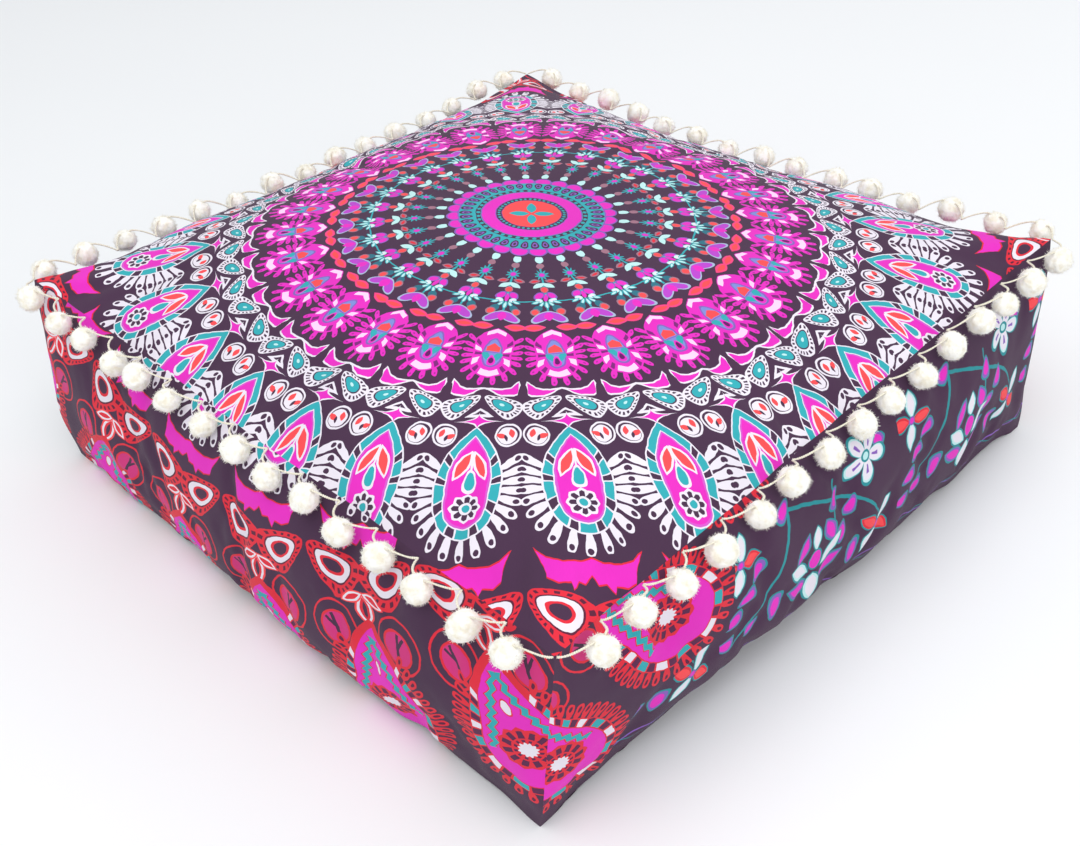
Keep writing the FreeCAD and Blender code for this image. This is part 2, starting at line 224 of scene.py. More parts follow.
class Drawing:
    """Writes shader nodes in the order they are used, so that a deep print stays light."""

    def __init__(self, material):
        self.nodes = material.node_tree.nodes
        self.links = material.node_tree.links
        self.colour = None

    def node(self, kind, *values, **options):
        made = self.nodes.new(kind)
        for name, value in options.items():
            setattr(made, name, value)
        sockets = [s for s in made.inputs if s.enabled]
        for socket, value in zip(sockets, values):
            self.put(socket, value)
        return made

    def put(self, socket, value):
        if isinstance(value, bpy.types.NodeSocket):
            self.links.new(value, socket)
        elif value is not None:
            if socket.type == "RGBA" and len(value) == 3:
                value = (*value, 1)
            socket.default_value = value

    def math(self, operation, *values, clamp=False):
        made = self.nodes.new("ShaderNodeMath")
        made.operation = operation
        made.use_clamp = clamp
        for socket, value in zip(made.inputs, values):
            self.put(socket, value)
        return made.outputs[0]

    def vector(self, operation, *values):
        made = self.nodes.new("ShaderNodeVectorMath")
        made.operation = operation
        for socket, value in zip(made.inputs, values):
            self.put(socket, value)
        return made.outputs["Value" if operation in ("LENGTH", "DOT_PRODUCT") else "Vector"]

    def pair(self, x, y):
        return self.node("ShaderNodeCombineXYZ", x, y).outputs[0]

    def parts(self, vector):
        made = self.node("ShaderNodeSeparateXYZ", vector)
        return made.outputs[0], made.outputs[1]

    def placed(self, vector, centre, radii, turn=0):
        """The point in a shape's own directions, where its radii are 1."""
        made = self.nodes.new("ShaderNodeMapping")
        made.vector_type = "TEXTURE"
        self.put(made.inputs["Vector"], vector)
        made.inputs["Location"].default_value = (*centre, 0)
        made.inputs["Rotation"].default_value = (0, 0, math.radians(turn))
        made.inputs["Scale"].default_value = (*radii, 1)
        return made.outputs[0]

    def oval(self, vector, centre, radii, turn=0):
        return self.vector("LENGTH", self.placed(vector, centre, radii, turn))

    def leaf(self, vector, centre, radii, turn=0):
        """Pointed at both ends of its own Y."""
        x, y = self.parts(self.placed(vector, centre, radii, turn))
        return self.math("MULTIPLY_ADD", y, y, self.math("ABSOLUTE", x))

    def drop(self, vector, centre, radii, turn=0, taper=0.6):
        """An oval that narrows towards its own +Y. The square of its distance."""
        x, y = self.parts(self.placed(vector, centre, radii, turn))
        wide = self.math("MULTIPLY", x, self.math("MULTIPLY_ADD", y, taper, 1.0))
        return self.math("MULTIPLY_ADD", wide, wide, self.math("MULTIPLY", y, y))

    def length(self, x, y):
        return self.math("SQRT", self.math("MULTIPLY_ADD", x, x, self.math("MULTIPLY", y, y)))

    def polar(self, vector, centre, radii):
        """The direction from a centre, 0 along +Y, and the distance."""
        x, y = self.parts(self.placed(vector, centre, radii))
        return self.math("ARCTAN2", x, y), self.length(x, y)

    def curve(self, x, points, sharp=False):
        """A drawn profile: y for x from 0 to 1."""
        made = self.nodes.new("ShaderNodeFloatCurve")
        self.put(made.inputs["Value"], x)
        line = made.mapping.curves[0]
        made.mapping.use_clip = False
        while len(line.points) < len(points):
            line.points.new(0.5, 0.5)
        for point, place in zip(line.points, sorted(points)):
            point.location = place
            point.handle_type = "VECTOR" if sharp else "AUTO"
        made.mapping.update()
        return made.outputs[0]

    def below(self, a, b):
        return self.math("LESS_THAN", a, b)

    def ring(self, r, low, high):
        """1 between two radii."""
        return self.below(self.math("ABSOLUTE", self.math("SUBTRACT", r, (low + high) / 2)),
                          (high - low) / 2)

    def both(self, a, b):
        return self.math("MULTIPLY", a, b)

    def paint(self, mask, colour):
        made = self.nodes.new("ShaderNodeMix")
        made.data_type = "RGBA"
        self.put(made.inputs["Factor"], mask)
        self.put(made.inputs[6], self.colour)
        self.put(made.inputs[7], colour)
        self.colour = made.outputs[2]

    def inked(self, field, *layers):
        """Paints the same field at smaller and smaller limits: outline first, then fill."""
        for limit, colour in layers:
            self.paint(self.below(field, limit), colour)

    def blocks(self, x, stops):
        """Hard blocks of colour along x."""
        made = self.node("ShaderNodeValToRGB", x)
        ramp = made.color_ramp
        ramp.interpolation = "CONSTANT"
        while len(ramp.elements) < len(stops):
            ramp.elements.new(1)
        for element, (place, colour) in zip(ramp.elements, stops):
            element.position = place
            element.color = (*colour, 1)
        return made.outputs[0]

    def cloud(self, place, scale, detail=2):
        """Soft random cloud, 0 to 1."""
        made = self.nodes.new("ShaderNodeTexNoise")
        made.inputs["Scale"].default_value = scale
        made.inputs["Detail"].default_value = detail
        self.put(made.inputs["Vector"], place)
        return made.outputs[0]

    def tones(self, x, *ends):
        """Colour that runs between two ends, each a place on x and a colour."""
        made = self.node("ShaderNodeValToRGB", x)
        for element, (place, colour) in zip(made.color_ramp.elements, ends):
            element.position, element.color = place, (*colour, 1)
        return made.outputs[0]

    def bump(self, height, strength, distance):
        made = self.nodes.new("ShaderNodeBump")
        made.inputs["Strength"].default_value = strength
        made.inputs["Distance"].default_value = distance
        self.put(made.inputs["Height"], height)
        return made.outputs[0]

    def surface(self, colour, normal=None, **inputs):
        """The piece's one surface. Inputs are named as their sockets, with _ for spaces."""
        shader = self.nodes.new("ShaderNodeBsdfPrincipled")
        self.put(shader.inputs["Base Color"], colour)
        for name, value in inputs.items():
            self.put(shader.inputs[name.replace("_", " ")], value)
        self.put(shader.inputs["Normal"], normal)
        return shader.outputs[0]


# ---- The print: rings of one mandala, in shares of the cushion's side ----
REPEATS = 28
AXIS = math.radians(-41.3)


def folded(d, angle, repeats, start=0.0):
    """How far round from the nearest repeat's axis, from 0."""
    return d.math("PINGPONG", d.math("SUBTRACT", angle, start - 8 * math.pi),
                  math.pi / repeats)


def centre_rings(d, ink, angle, r):
    """The disc, dots, rings and loops at the middle."""
    dim = tuple(0.55 * a + 0.45 * b for a, b in zip(ink["ground"], ink["lilac"]))
    # scallops, one at the foot of each spoke
    t = d.math("MULTIPLY", folded(d, angle, REPEATS, AXIS), r)
    xy = d.pair(t, r)
    d.paint(d.below(r, 0.1010), ink["teal"])
    d.inked(d.oval(xy, (0, 0.1020), (0.0122, 0.0105)), (1, ink["lilac"]), (0.80, ink["magenta"]))
    d.paint(d.below(r, 0.0975), ink["lilac"])
    d.paint(d.below(r, 0.0955), ink["teal"])
    # loops
    t = d.math("MULTIPLY", folded(d, angle, 42), r)
    xy = d.pair(t, r)
    d.inked(d.drop(xy, (0, 0.0865), (0.0050, 0.0088), 180, 0.25), (1.0, ink["ground"]),
            (0.42, ink["lilac"]), (0.12, ink["ground"]))
    d.paint(d.below(r, 0.0750), ink["teal"])
    # dots between the rings
    d.paint(d.ring(r, 0.0670, 0.0735), ink["ground"])
    d.inked(d.oval(xy, (0, 0.0702), (0.0030, 0.0026)), (1, ink["teal"]))
    d.paint(d.below(r, 0.0665), ink["lilac"])
    d.paint(d.below(r, 0.0650), ink["magenta"])
    d.paint(d.below(r, 0.0478), ink["lilac"])
    d.paint(d.below(r, 0.0465), ink["ground"])
    d.inked(d.oval(xy, (0, 0.0428), (0.0019, 0.0022)), (1, ink["teal"]))
    # the disc and its cross
    d.paint(d.below(r, 0.0395), dim)
    d.paint(d.below(r, 0.0385), ink["coral"])
    t = d.math("MULTIPLY", folded(d, angle, 4, math.pi / 4), r)
    d.inked(d.leaf(d.pair(t, r), (0, 0.0165), (0.0062, 0.0135)), (1, ink["teal"]))


def spokes(d, ink, t, r):
    """The strings of beads, stars and flowers that run out from the middle."""
    xy = d.pair(t, r)
    mauve = (0.34, 0.16, 0.22)
    deep = (0.03, 0.16, 0.22)
    d.paint(d.both(d.below(t, 0.0012), d.ring(r, 0.110, 0.232)), ink["teal"])
    d.inked(d.oval(xy, (0, 0.1200), (0.0050, 0.0078)), (1, ink["mint"]))
    d.inked(d.oval(xy, (0, 0.1345), (0.0047, 0.0058)), (1, mauve))
    # starburst: spines around a magenta eye
    around, far = d.polar(xy, (0, 0.1545), (0.0090, 0.0125))
    spine = d.math("PINGPONG", around, math.pi / 10)
    reach = d.math("MULTIPLY_ADD", spine, -1.9, 1.02)
    d.paint(d.below(far, reach), ink["teal"])
    d.inked(far, (0.42, ink["lilac"]), (0.30, ink["magenta"]))
    # leaves and wings
    d.inked(d.leaf(xy, (0.0098, 0.1690), (0.0046, 0.0078), -72), (1, mauve), (0.45, ink["red"]))
    d.inked(d.leaf(xy, (0.0058, 0.1785), (0.0042, 0.0095), -52), (1, ink["mint"]))
    d.inked(d.oval(xy, (0, 0.1880), (0.0050, 0.0066)), (1, mauve), (0.78, ink["coral"]))
    d.inked(d.leaf(xy, (0, 0.2060), (0.0026, 0.0088)), (1, ink["magenta"]))
    d.inked(d.oval(xy, (0.0075, 0.2010), (0.0056, 0.0086), -32), (1, ink["lilac"]),
            (0.72, ink["magenta"]))
    # lotus fan
    d.inked(d.oval(xy, (0.0080, 0.2110), (0.0048, 0.0042), -30), (1, ink["mint"]),
            (0.62, ink["white"]))
    d.paint(d.both(d.ring(r, 0.2118, 0.2140), d.below(0.010, t)), ink["teal"])
    for centre, radii, turn in (((0.0128, 0.2150), (0.0028, 0.0062), -62),
                                ((0.0062, 0.2195), (0.0026, 0.0076), -30)):
        d.inked(d.leaf(xy, centre, radii, turn), (1, ink["teal"]), (0.55, ink["mint"]))
    d.inked(d.leaf(xy, (0, 0.2210), (0.0028, 0.0088)), (1, ink["teal"]), (0.55, ink["mint"]))
    # red ovals on dark stems, and a heart over them
    d.inked(d.oval(xy, (0.0115, 0.2285), (0.0052, 0.0075), -24), (1, deep))
    d.inked(d.oval(xy, (0.0150, 0.2350), (0.0058, 0.0070), -8), (1, mauve), (0.70, ink["coral"]))
    heart = d.math("MULTIPLY_ADD", t, -0.62, r)
    d.inked(d.oval(d.pair(t, heart), (0.0085, 0.2395), (0.0135, 0.0088), 0),
            (1, tuple(0.5 * a + 0.5 * b for a, b in zip(ink["lilac"], ink["mint"]))),
            (0.80, (0.46, 0.06, 0.56)))
    d.inked(d.leaf(xy, (0, 0.2440), (0.0055, 0.0085)), (1, ink["magenta"]))


def medallions(d, ink, t, r, turn_share):
    """The magenta medallions and the ribbons, teardrops and stars outside them."""
    xy = d.pair(t, r)
    pink = (0.93, 0.62, 0.88)
    d.inked(d.leaf(xy, (0.0190, 0.2655), (0.0066, 0.0135), -86), (1, (0.85, 0.06, 0.22)),
            (0.55, ink["coral"]))
    around, far = d.polar(xy, (0, 0.3160), (1, 1))
    share = d.math("DIVIDE", around, math.pi)
    rim = d.curve(share, [(0, 0.0385), (0.22, 0.0330), (0.42, 0.0232), (0.60, 0.0235),
                          (0.80, 0.0345), (1, 0.0470)])
    # fringe
    across = d.math("MULTIPLY", d.math("PINGPONG", d.math("SUBTRACT", around, math.pi / 20),
                                       math.pi / 20), far)
    over = d.math("SUBTRACT", far, rim)
    petal = d.pair(across, over)
    fringe = d.both(d.below(d.drop(petal, (0, 0.0040), (0.0031, 0.0085), 180, 0.25), 1),
                    d.below(share, 0.79))
    d.paint(fringe, ink["magenta"])
    d.paint(d.both(d.below(d.oval(petal, (0, 0.0078), (0.0010, 0.0016)), 1),
                   d.below(share, 0.79)), (0.36, 0.03, 0.26))
    # ring of blocks
    d.paint(d.below(over, 0), ink["magenta"])
    dark = (0.20, 0.02, 0.18)
    ring = d.both(d.below(over, -0.0022), d.below(-0.0108, over))
    d.paint(ring, d.blocks(share, [
        (0, pink), (0.115, ink["magenta"]), (0.150, dark), (0.205, ink["magenta"]),
        (0.260, pink), (0.370, ink["magenta"]), (0.455, dark), (0.540, ink["magenta"]),
        (0.590, pink), (0.690, ink["magenta"]), (0.730, dark), (0.790, ink["magenta"])]))
    # the chevron at the foot
    chevron = d.math("MULTIPLY_ADD", t, -0.62, r)
    d.paint(d.both(d.ring(chevron, 0.2700, 0.2768), d.below(t, 0.0105)), pink)
    # the drop
    d.inked(d.drop(xy, (0, 0.3125), (0.0112, 0.0255), 180, 0.22), (1, ink["lilac"]))
    d.inked(d.drop(xy, (0, 0.3125), (0.0092, 0.0230), 180, 0.22), (1, (0.20, 0.25, 0.62)))
    d.inked(d.drop(xy, (0.0052, 0.3215), (0.0034, 0.0095), 28, 0.5), (1, ink["teal"]))
    d.inked(d.drop(xy, (0, 0.3265), (0.0044, 0.0086), 180, 0.4), (1, ink["magenta"]),
            (0.36, (0.12, 0.01, 0.12)))
    d.paint(d.both(d.ring(r, 0.3120, 0.3135), d.below(t, 0.0088)), ink["lilac"])
    cup = d.math("MULTIPLY_ADD", t, -0.9, r)
    d.paint(d.both(d.both(d.below(0.2965, cup), d.ring(r, 0.2965, 0.3110)),
                   d.below(t, 0.0075)), ink["coral"])
    # ribbon
    high = d.curve(turn_share, [(0, 0.3710), (0.10, 0.3725), (0.28, 0.3785), (0.47, 0.3825),
                                (0.78, 0.3825), (0.86, 0.3805), (0.88, 0.3720), (0.93, 0.3650)],
                   sharp=True)
    low = d.curve(turn_share, [(0, 0.3685), (0.30, 0.3705), (0.48, 0.3705), (0.68, 0.3675),
                               (0.83, 0.3605), (0.90, 0.3580), (0.93, 0.3640)], sharp=True)
    inside = d.math("MINIMUM", d.math("SUBTRACT", high, r), d.math("SUBTRACT", r, low))
    inside = d.math("MINIMUM", inside, d.math("MULTIPLY_ADD", turn_share, -0.045, 0.0422))
    d.paint(d.below(0, inside), ink["white"])
    d.paint(d.below(0.0024, inside), ink["magenta"])
    # teardrop with a dotted border
    body = d.drop(xy, (0.0222, 0.3950), (0.0112, 0.0236), 123, 0.55)
    d.inked(body, (1, ink["white"]))
    x, y = d.parts(d.placed(xy, (0.0250, 0.3968), (1, 1), 123))
    bead = d.math("FRACT", d.math("MULTIPLY", d.math("ARCTAN2", x, d.math("MULTIPLY", y, 0.60)),
                                  18 / (2 * math.pi)))
    dots = d.both(d.below(d.math("ABSOLUTE", d.math("SUBTRACT", bead, 0.5)), 0.24),
                  d.both(d.below(body, 0.82), d.below(0.52, body)))
    d.paint(dots, ink["ground"])
    d.inked(body, (0.36, ink["ground"]), (0.27, ink["teal"]), (0.018, ink["mint"]))
    # star and the small triangle under it
    x, y = d.parts(d.placed(xy, (0, 0.4178), (0.0225, 0.0100)))
    star = d.math("ADD", d.math("SQRT", x), d.math("SQRT", d.math("ABSOLUTE", y)))
    star_low = d.math("MULTIPLY_ADD", t, -0.80, r)
    d.paint(d.both(d.below(0.3988, star_low), d.ring(r, 0.3990, 0.4120)), ink["white"])
    d.paint(d.both(d.below(0.4022, star_low), d.ring(r, 0.4022, 0.4082)), ink["ground"])
    d.inked(star, (1.16, ink["white"]), (1.00, ink["magenta"]))


def feathers(d, ink, t, r):
    """The white-fringed feathers and the ringed ovals between them."""
    xy = d.pair(t, r)
    # ringed ovals
    ring = d.oval(xy, (0.0345, 0.4362), (0.0138, 0.0152))
    inner = d.oval(xy, (0.0338, 0.4370), (0.0100, 0.0112))
    d.inked(ring, (1, ink["white"]), (0.84, ink["ground"]))
    d.inked(inner, (1, ink["white"]))
    for centre, turn in (((0.0378, 0.4340), -18), ((0.0278, 0.4375), -62)):
        d.inked(d.leaf(xy, centre, (0.0030, 0.0060), turn), (1, ink["coral"]))
    d.inked(d.leaf(xy, (0.0325, 0.4400), (0.0016, 0.0046), -20), (1, ink["ground"]))
    # feather
    around, far = d.polar(xy, (0, 0.5030), (1, 1))
    share = d.math("DIVIDE", around, math.pi)
    outer = d.curve(share, [(0, 0.0600), (0.12, 0.0560), (0.25, 0.0455), (0.38, 0.0385),
                            (0.50, 0.0370), (0.62, 0.0385), (0.74, 0.0440), (0.84, 0.0525),
                            (0.93, 0.0640), (1, 0.0780)])
    # fringe, one white petal with a dark eye after another
    step = 14.1 * math.pi / 180
    across = d.math("MULTIPLY", d.math("PINGPONG", around, step / 2), far)
    over = d.math("SUBTRACT", far, outer)
    petal = d.pair(across, over)
    fringed = d.below(share, 0.745)
    d.paint(d.both(d.below(d.drop(petal, (0, 0.0105), (0.0048, 0.0150), 180, 0.32), 1), fringed),
            ink["white"])
    d.paint(d.both(d.below(d.oval(petal, (0, 0.0186), (0.0029, 0.0034)), 1), fringed),
            ink["ground"])
    # ring of blocks between white lines
    d.paint(d.below(over, 0), ink["white"])
    white, teal, ground = ink["white"], ink["teal"], ink["ground"]
    stops = [(0, teal), (0.045, white), (0.057, ground), (0.108, white), (0.120, teal),
             (0.232, white), (0.248, ground), (0.325, white), (0.343, teal), (0.545, white),
             (0.562, ground), (0.625, white), (0.640, teal), (0.762, white), (0.775, ground),
             (0.825, white), (0.838, teal)]
    ring = d.both(d.below(over, -0.0019), d.below(-0.0118, over))
    d.paint(ring, d.blocks(share, stops))
    d.paint(d.below(over, -0.0118), ink["white"])
    d.paint(d.below(over, -0.0134), (0.62, 0.10, 0.56))
    d.paint(d.below(over, -0.0160), ink["magenta"])
    # the two-lobed leaf
    d.inked(d.leaf(xy, (0.0092, 0.4745), (0.0072, 0.0205), -24), (1, ink["white"]),
            (0.66, ink["coral"]))
    d.paint(d.both(d.below(t, 0.0010), d.ring(r, 0.4570, 0.4800)), ink["white"])
    d.inked(d.drop(xy, (0, 0.4930), (0.0068, 0.0148), 180, 0.4), (1, ink["white"]),
            (0.55, ink["teal"]))
    # rosette
    around, far = d.polar(xy, (0, 0.5255), (0.0172, 0.0172))
    spoke = d.math("PINGPONG", around, math.pi / 8)
    edge = d.math("MULTIPLY_ADD", spoke, -0.42, 1.02)
    d.paint(d.below(far, edge), ink["white"])
    d.paint(d.both(d.below(d.math("MULTIPLY", spoke, far), 0.165),
                   d.both(d.below(far, d.math("SUBTRACT", edge, 0.17)), d.below(0.42, far))),
            ink["ground"])
    d.inked(far, (0.34, ink["white"]), (0.26, ink["teal"]))


def crowns(d, ink, t, r, turn_share):
    """The magenta crowns, the dotted paisleys under them, and the ringed leaves."""
    xy = d.pair(t, r)
    low = d.curve(turn_share, [(0, 0.5870), (0.15, 0.5915), (0.45, 0.5920), (0.66, 0.5870),
                               (0.83, 0.5760), (0.86, 0.5800), (1, 0.5800)], sharp=True)
    high = d.curve(turn_share, [(0, 0.6085), (0.10, 0.6180), (0.22, 0.6165), (0.33, 0.6270),
                                (0.36, 0.6180), (0.52, 0.6190), (0.66, 0.6130), (0.69, 0.6010),
                                (0.83, 0.5765), (0.86, 0.5700), (1, 0.5700)], sharp=True)
    inside = d.math("MINIMUM", d.math("SUBTRACT", high, r), d.math("SUBTRACT", r, low))
    d.paint(d.below(0, inside), ink["red"])
    d.paint(d.below(0.0020, inside), ink["magenta"])
    # paisley pair, its tails together
    dark = (0.11, 0.018, 0.045)
    body = d.drop(xy, (0.0385, 0.6500), (0.0255, 0.0370), -130, 0.62)
    d.inked(body, (1, ink["red"]))
    x, y = d.parts(d.placed(xy, (0.0430, 0.6535), (1, 1), -130))
    bead = d.math("FRACT", d.math("MULTIPLY", d.math("ARCTAN2", x, d.math("MULTIPLY", y, 0.72)),
                                  19 / (2 * math.pi)))
    dots = d.both(d.below(d.math("ABSOLUTE", d.math("SUBTRACT", bead, 0.5)), 0.21),
                  d.both(d.below(body, 0.84), d.below(0.60, body)))
    d.paint(dots, dark)
    d.inked(body, (0.48, dark), (0.40, ink["white"]), (0.17, ink["red"]), (0.09, ink["ground"]))
    # fleur between them
    d.inked(d.leaf(xy, (0, 0.7000), (0.0125, 0.0255)), (1, ink["coral"]), (0.78, ink["white"]),
            (0.52, ink["red"]), (0.24, ink["ground"]))
    d.inked(d.leaf(xy, (0.0140, 0.6845), (0.0085, 0.0180), -62), (1, ink["coral"]),
            (0.74, ink["white"]), (0.42, ink["red"]))
    # ringed leaves
    ring = d.oval(xy, (0.0465, 0.7350), (0.0290, 0.0400), -12)
    d.inked(ring, (1, ink["red"]), (0.92, ink["ground"]))
    inner = d.placed(xy, (0.0455, 0.7380), (0.0190, 0.0270), -12)
    leaf = d.vector("LENGTH", inner)
    d.inked(leaf, (1, ink["red"]), (0.86, (0.62, 0.035, 0.20)))
    x, y = d.parts(inner)
    bar = d.math("ABSOLUTE", d.math("MULTIPLY_ADD", y, 0.45, x))
    bars = d.math("MAXIMUM", d.below(bar, 0.11),
                  d.both(d.below(d.math("ABSOLUTE", d.math("ADD", y, d.math("MULTIPLY", x, 0.7))),
                                 0.10), d.below(0, x)))
    d.paint(d.both(bars, d.below(leaf, 0.80)), ink["ground"])


def plumes(d, ink, t, r):
    """The large red and magenta feathers of the border."""
    xy = d.pair(t, r)
    around, far = d.polar(xy, (0, 0.8380), (1, 1))
    share = d.math("DIVIDE", around, math.pi)
    outer = d.curve(share, [(0, 0.0900), (0.20, 0.0830), (0.38, 0.0700), (0.50, 0.0640),
                            (0.62, 0.0610), (0.76, 0.0680), (0.88, 0.0880), (0.95, 0.1080),
                            (1, 0.1240)])
    over = d.math("SUBTRACT", far, outer)
    across = d.math("MULTIPLY", d.math("PINGPONG", around, math.pi / 38), far)
    petal = d.pair(across, over)
    fringed = d.below(share, 0.86)
    d.paint(d.both(d.below(d.drop(petal, (0, 0.0085), (0.0048, 0.0120), 180, 0.35), 1), fringed),
            ink["red"])
    d.paint(d.both(d.below(d.drop(petal, (0, 0.0125), (0.0021, 0.0042), 180, 0.2), 1), fringed),
            (0.11, 0.015, 0.05))
    d.paint(d.below(over, 0), ink["red"])
    white, teal, dark, red = ink["white"], ink["teal"], (0.10, 0.02, 0.07), ink["red"]
    stops = [(0, white), (0.040, red), (0.052, dark), (0.100, red), (0.112, teal), (0.185, red),
             (0.197, dark), (0.245, red), (0.257, white), (0.330, red), (0.345, dark),
             (0.400, red), (0.412, teal), (0.490, red), (0.505, dark), (0.560, red),
             (0.575, white), (0.640, red), (0.655, dark), (0.700, red), (0.712, teal),
             (0.765, red), (0.778, dark), (0.810, red), (0.820, white), (0.850, red)]
    ring = d.both(d.below(over, -0.0018), d.below(-0.0125, over))
    d.paint(ring, d.blocks(share, stops))
    d.paint(d.below(over, -0.0142), ink["magenta"])
    # teal sprays
    wave = d.math("MULTIPLY", d.math("PINGPONG", r, 0.0075), 0.8)
    spray = d.math("ABSOLUTE", d.math("SUBTRACT", t, d.math("ADD", wave, d.math(
        "MULTIPLY", d.math("SUBTRACT", r, 0.7450), 0.36))))
    run = d.ring(r, 0.7430, 0.8500)
    d.paint(d.both(d.below(spray, 0.0058), run), ink["red"])
    d.paint(d.both(d.below(spray, 0.0040), run), ink["teal"])
    d.inked(d.oval(xy, (0, 0.7870), (0.0060, 0.0120)), (1, ink["red"]), (0.80, ink["white"]))
    # rosette
    around, far = d.polar(xy, (0, 0.8480), (0.0330, 0.0330))
    spoke = d.math("PINGPONG", around, math.pi / 12)
    edge = d.math("MULTIPLY_ADD", spoke, -0.45, 1.03)
    d.paint(d.below(far, edge), ink["red"])
    holes = d.both(d.below(d.math("MULTIPLY", spoke, far), 0.105),
                   d.both(d.below(far, 0.86), d.below(0.55, far)))
    d.paint(holes, dark)
    d.paint(d.both(d.below(d.math("MULTIPLY", spoke, far), 0.055),
                   d.both(d.below(far, 0.48), d.below(0.36, far))), dark)
    d.paint(d.below(far, d.math("MULTIPLY_ADD", spoke, -0.35, 0.36)), ink["white"])


FLORAL_REPEAT = 0.345


def florals(d, ink, along, down):
    """Vines, buds and flowers on the dark ground, outside the border's feathers."""
    # one repeat, from 0 to FLORAL_REPEAT along, and down from the seam
    x = d.math("WRAP", along, FLORAL_REPEAT, 0.0)
    xy = d.pair(x, down)
    shade = tuple(0.7 * a for a in ink["teal"])

    def vine(points, low, high, width=0.0028):
        line = d.curve(down if low is None else x, points)
        gap = d.math("ABSOLUTE", d.math("SUBTRACT", x if low is None else down, line))
        mask = d.both(d.below(gap, width), d.ring(down if low is None else x, *high))
        d.paint(mask, shade)

    def bud(centre, turn, size=1.0):
        spot = d.drop(xy, centre, (0.0105 * size, 0.0165 * size), turn, 0.5)
        d.inked(spot, (1.25, shade), (0.92, ink["lilac"]), (0.48, ink["magenta"]))

    def petal(centre, radii, turn, edge, fill):
        spot = d.leaf(xy, centre, radii, turn)
        d.inked(spot, (1.15, shade), (0.92, edge), (0.62, fill))

    vine([(0.04, 0.117), (0.09, 0.113), (0.13, 0.095), (0.17, 0.055), (0.20, 0.01)], None,
         (0.045, 0.195))
    vine([(0.11, 0.045), (0.20, 0.085), (0.27, 0.125), (0.30, 0.165)], 0, (0.12, 0.30))
    vine([(0.03, 0.215), (0.12, 0.205), (0.20, 0.222), (0.24, 0.236)], None, (0.060, 0.120),
         0.0016)
    for centre, turn, size in (
            ((0.062, 0.100), 60, 0.9), ((0.040, 0.125), 70, 0.9), ((0.020, 0.150), 80, 0.9),
            ((0.008, 0.182), 100, 0.9), ((0.055, 0.190), 0, 0.9), ((0.093, 0.178), 10, 1.1),
            ((0.208, 0.088), 200, 0.9), ((0.245, 0.120), 200, 0.9), ((0.222, 0.150), 10, 0.9),
            ((0.252, 0.200), 10, 1.1), ((0.300, 0.055), 140, 0.9), ((0.110, 0.045), 230, 0.9)):
        bud(centre, turn, size)
    # large flower with curling petals
    at = (0.172, 0.158)
    for side in (-1, 1):
        petal((at[0] + side * 0.026, at[1] - 0.030), (0.0105, 0.0230), -side * 24,
              ink["lilac"], ink["magenta"])
        petal((at[0] + side * 0.030, at[1] + 0.002), (0.0110, 0.0250), side * 52,
              ink["mint"], ink["white"])
        petal((at[0] + side * 0.030, at[1] + 0.030), (0.0120, 0.0270), side * 62,
              ink["lilac"], ink["magenta"])
    petal((at[0], at[1] + 0.046), (0.0150, 0.0240), 0, ink["mint"], ink["white"])
    petal((at[0], at[1] - 0.034), (0.0085, 0.0190), 0, ink["mint"], ink["white"])
    d.inked(d.oval(xy, at, (0.0105, 0.0150)), (1.15, shade), (0.95, ink["magenta"]))
    # small four-petalled flowers, white and red in turn
    for middle, spin in (((0.028, 0.070), 10), ((0.300, 0.185), 40)):
        for index in range(4):
            turn = spin + 90 * index
            reach = (middle[0] - 0.022 * math.sin(math.radians(turn)),
                     middle[1] + 0.022 * math.cos(math.radians(turn)))
            fill = ink["coral"] if index % 2 else ink["white"]
            edge = ink["red"] if index % 2 else ink["mint"]
            petal(reach, (0.0100, 0.0200), turn, edge, fill)
        d.inked(d.oval(xy, middle, (0.0060, 0.0060)), (1, ink["lilac"]), (0.6, ink["magenta"]))
    # white flower with five round petals
    around, far = d.polar(xy, (0.272, 0.062), (0.0400, 0.0400))
    spoke = d.math("PINGPONG", around, math.pi / 5)
    edge = d.math("MULTIPLY_ADD", d.math("MULTIPLY", spoke, spoke), -1.9, 1.0)
    d.inked(d.math("SUBTRACT", far, edge), (0.06, shade), (-0.06, ink["mint"]),
            (-0.14, ink["white"]))
    d.paint(d.both(d.below(spoke, 0.10), d.ring(far, 0.30, 0.62)), ink["lilac"])
    d.inked(far, (0.20, shade), (0.12, ink["mint"]))
    # scrolled border over the hem
    wave = d.math("MULTIPLY_ADD", d.math("SINE", d.math("MULTIPLY", along, 75)), 0.0060, 0.258)
    d.paint(d.below(d.math("ABSOLUTE", d.math("SUBTRACT", down, wave)), 0.0016), ink["lilac"])
    wave = d.math("MULTIPLY_ADD", d.math("SINE", d.math("MULTIPLY", along, 75)), -0.0060, 0.262)
    d.paint(d.below(d.math("ABSOLUTE", d.math("SUBTRACT", down, wave)), 0.0012), shade)


# ---- Materials ----

def new_material(name):
    """An empty material, and what draws in it."""
    material = bpy.data.materials.new(name)
    material.use_nodes = True
    material.node_tree.nodes.clear()
    return material, Drawing(material)


def in_object(d):
    return d.nodes.new("ShaderNodeTexCoord").outputs["Object"]


def in_cloth(d):
    made = d.nodes.new("ShaderNodeUVMap")
    made.uv_map = "cloth"
    return made.outputs[0]


def finished(d, material, surface):
    out = d.nodes.new("ShaderNodeOutputMaterial")
    d.links.new(surface, out.inputs["Surface"])
    return material


def cloth_surface(d, colour, normal, roughness=0.85):
    """Matt woven cotton."""
    return d.surface(colour, normal, Roughness=roughness, Sheen_Weight=0.08,
                     Sheen_Roughness=0.45, Specular_IOR_Level=0.15)


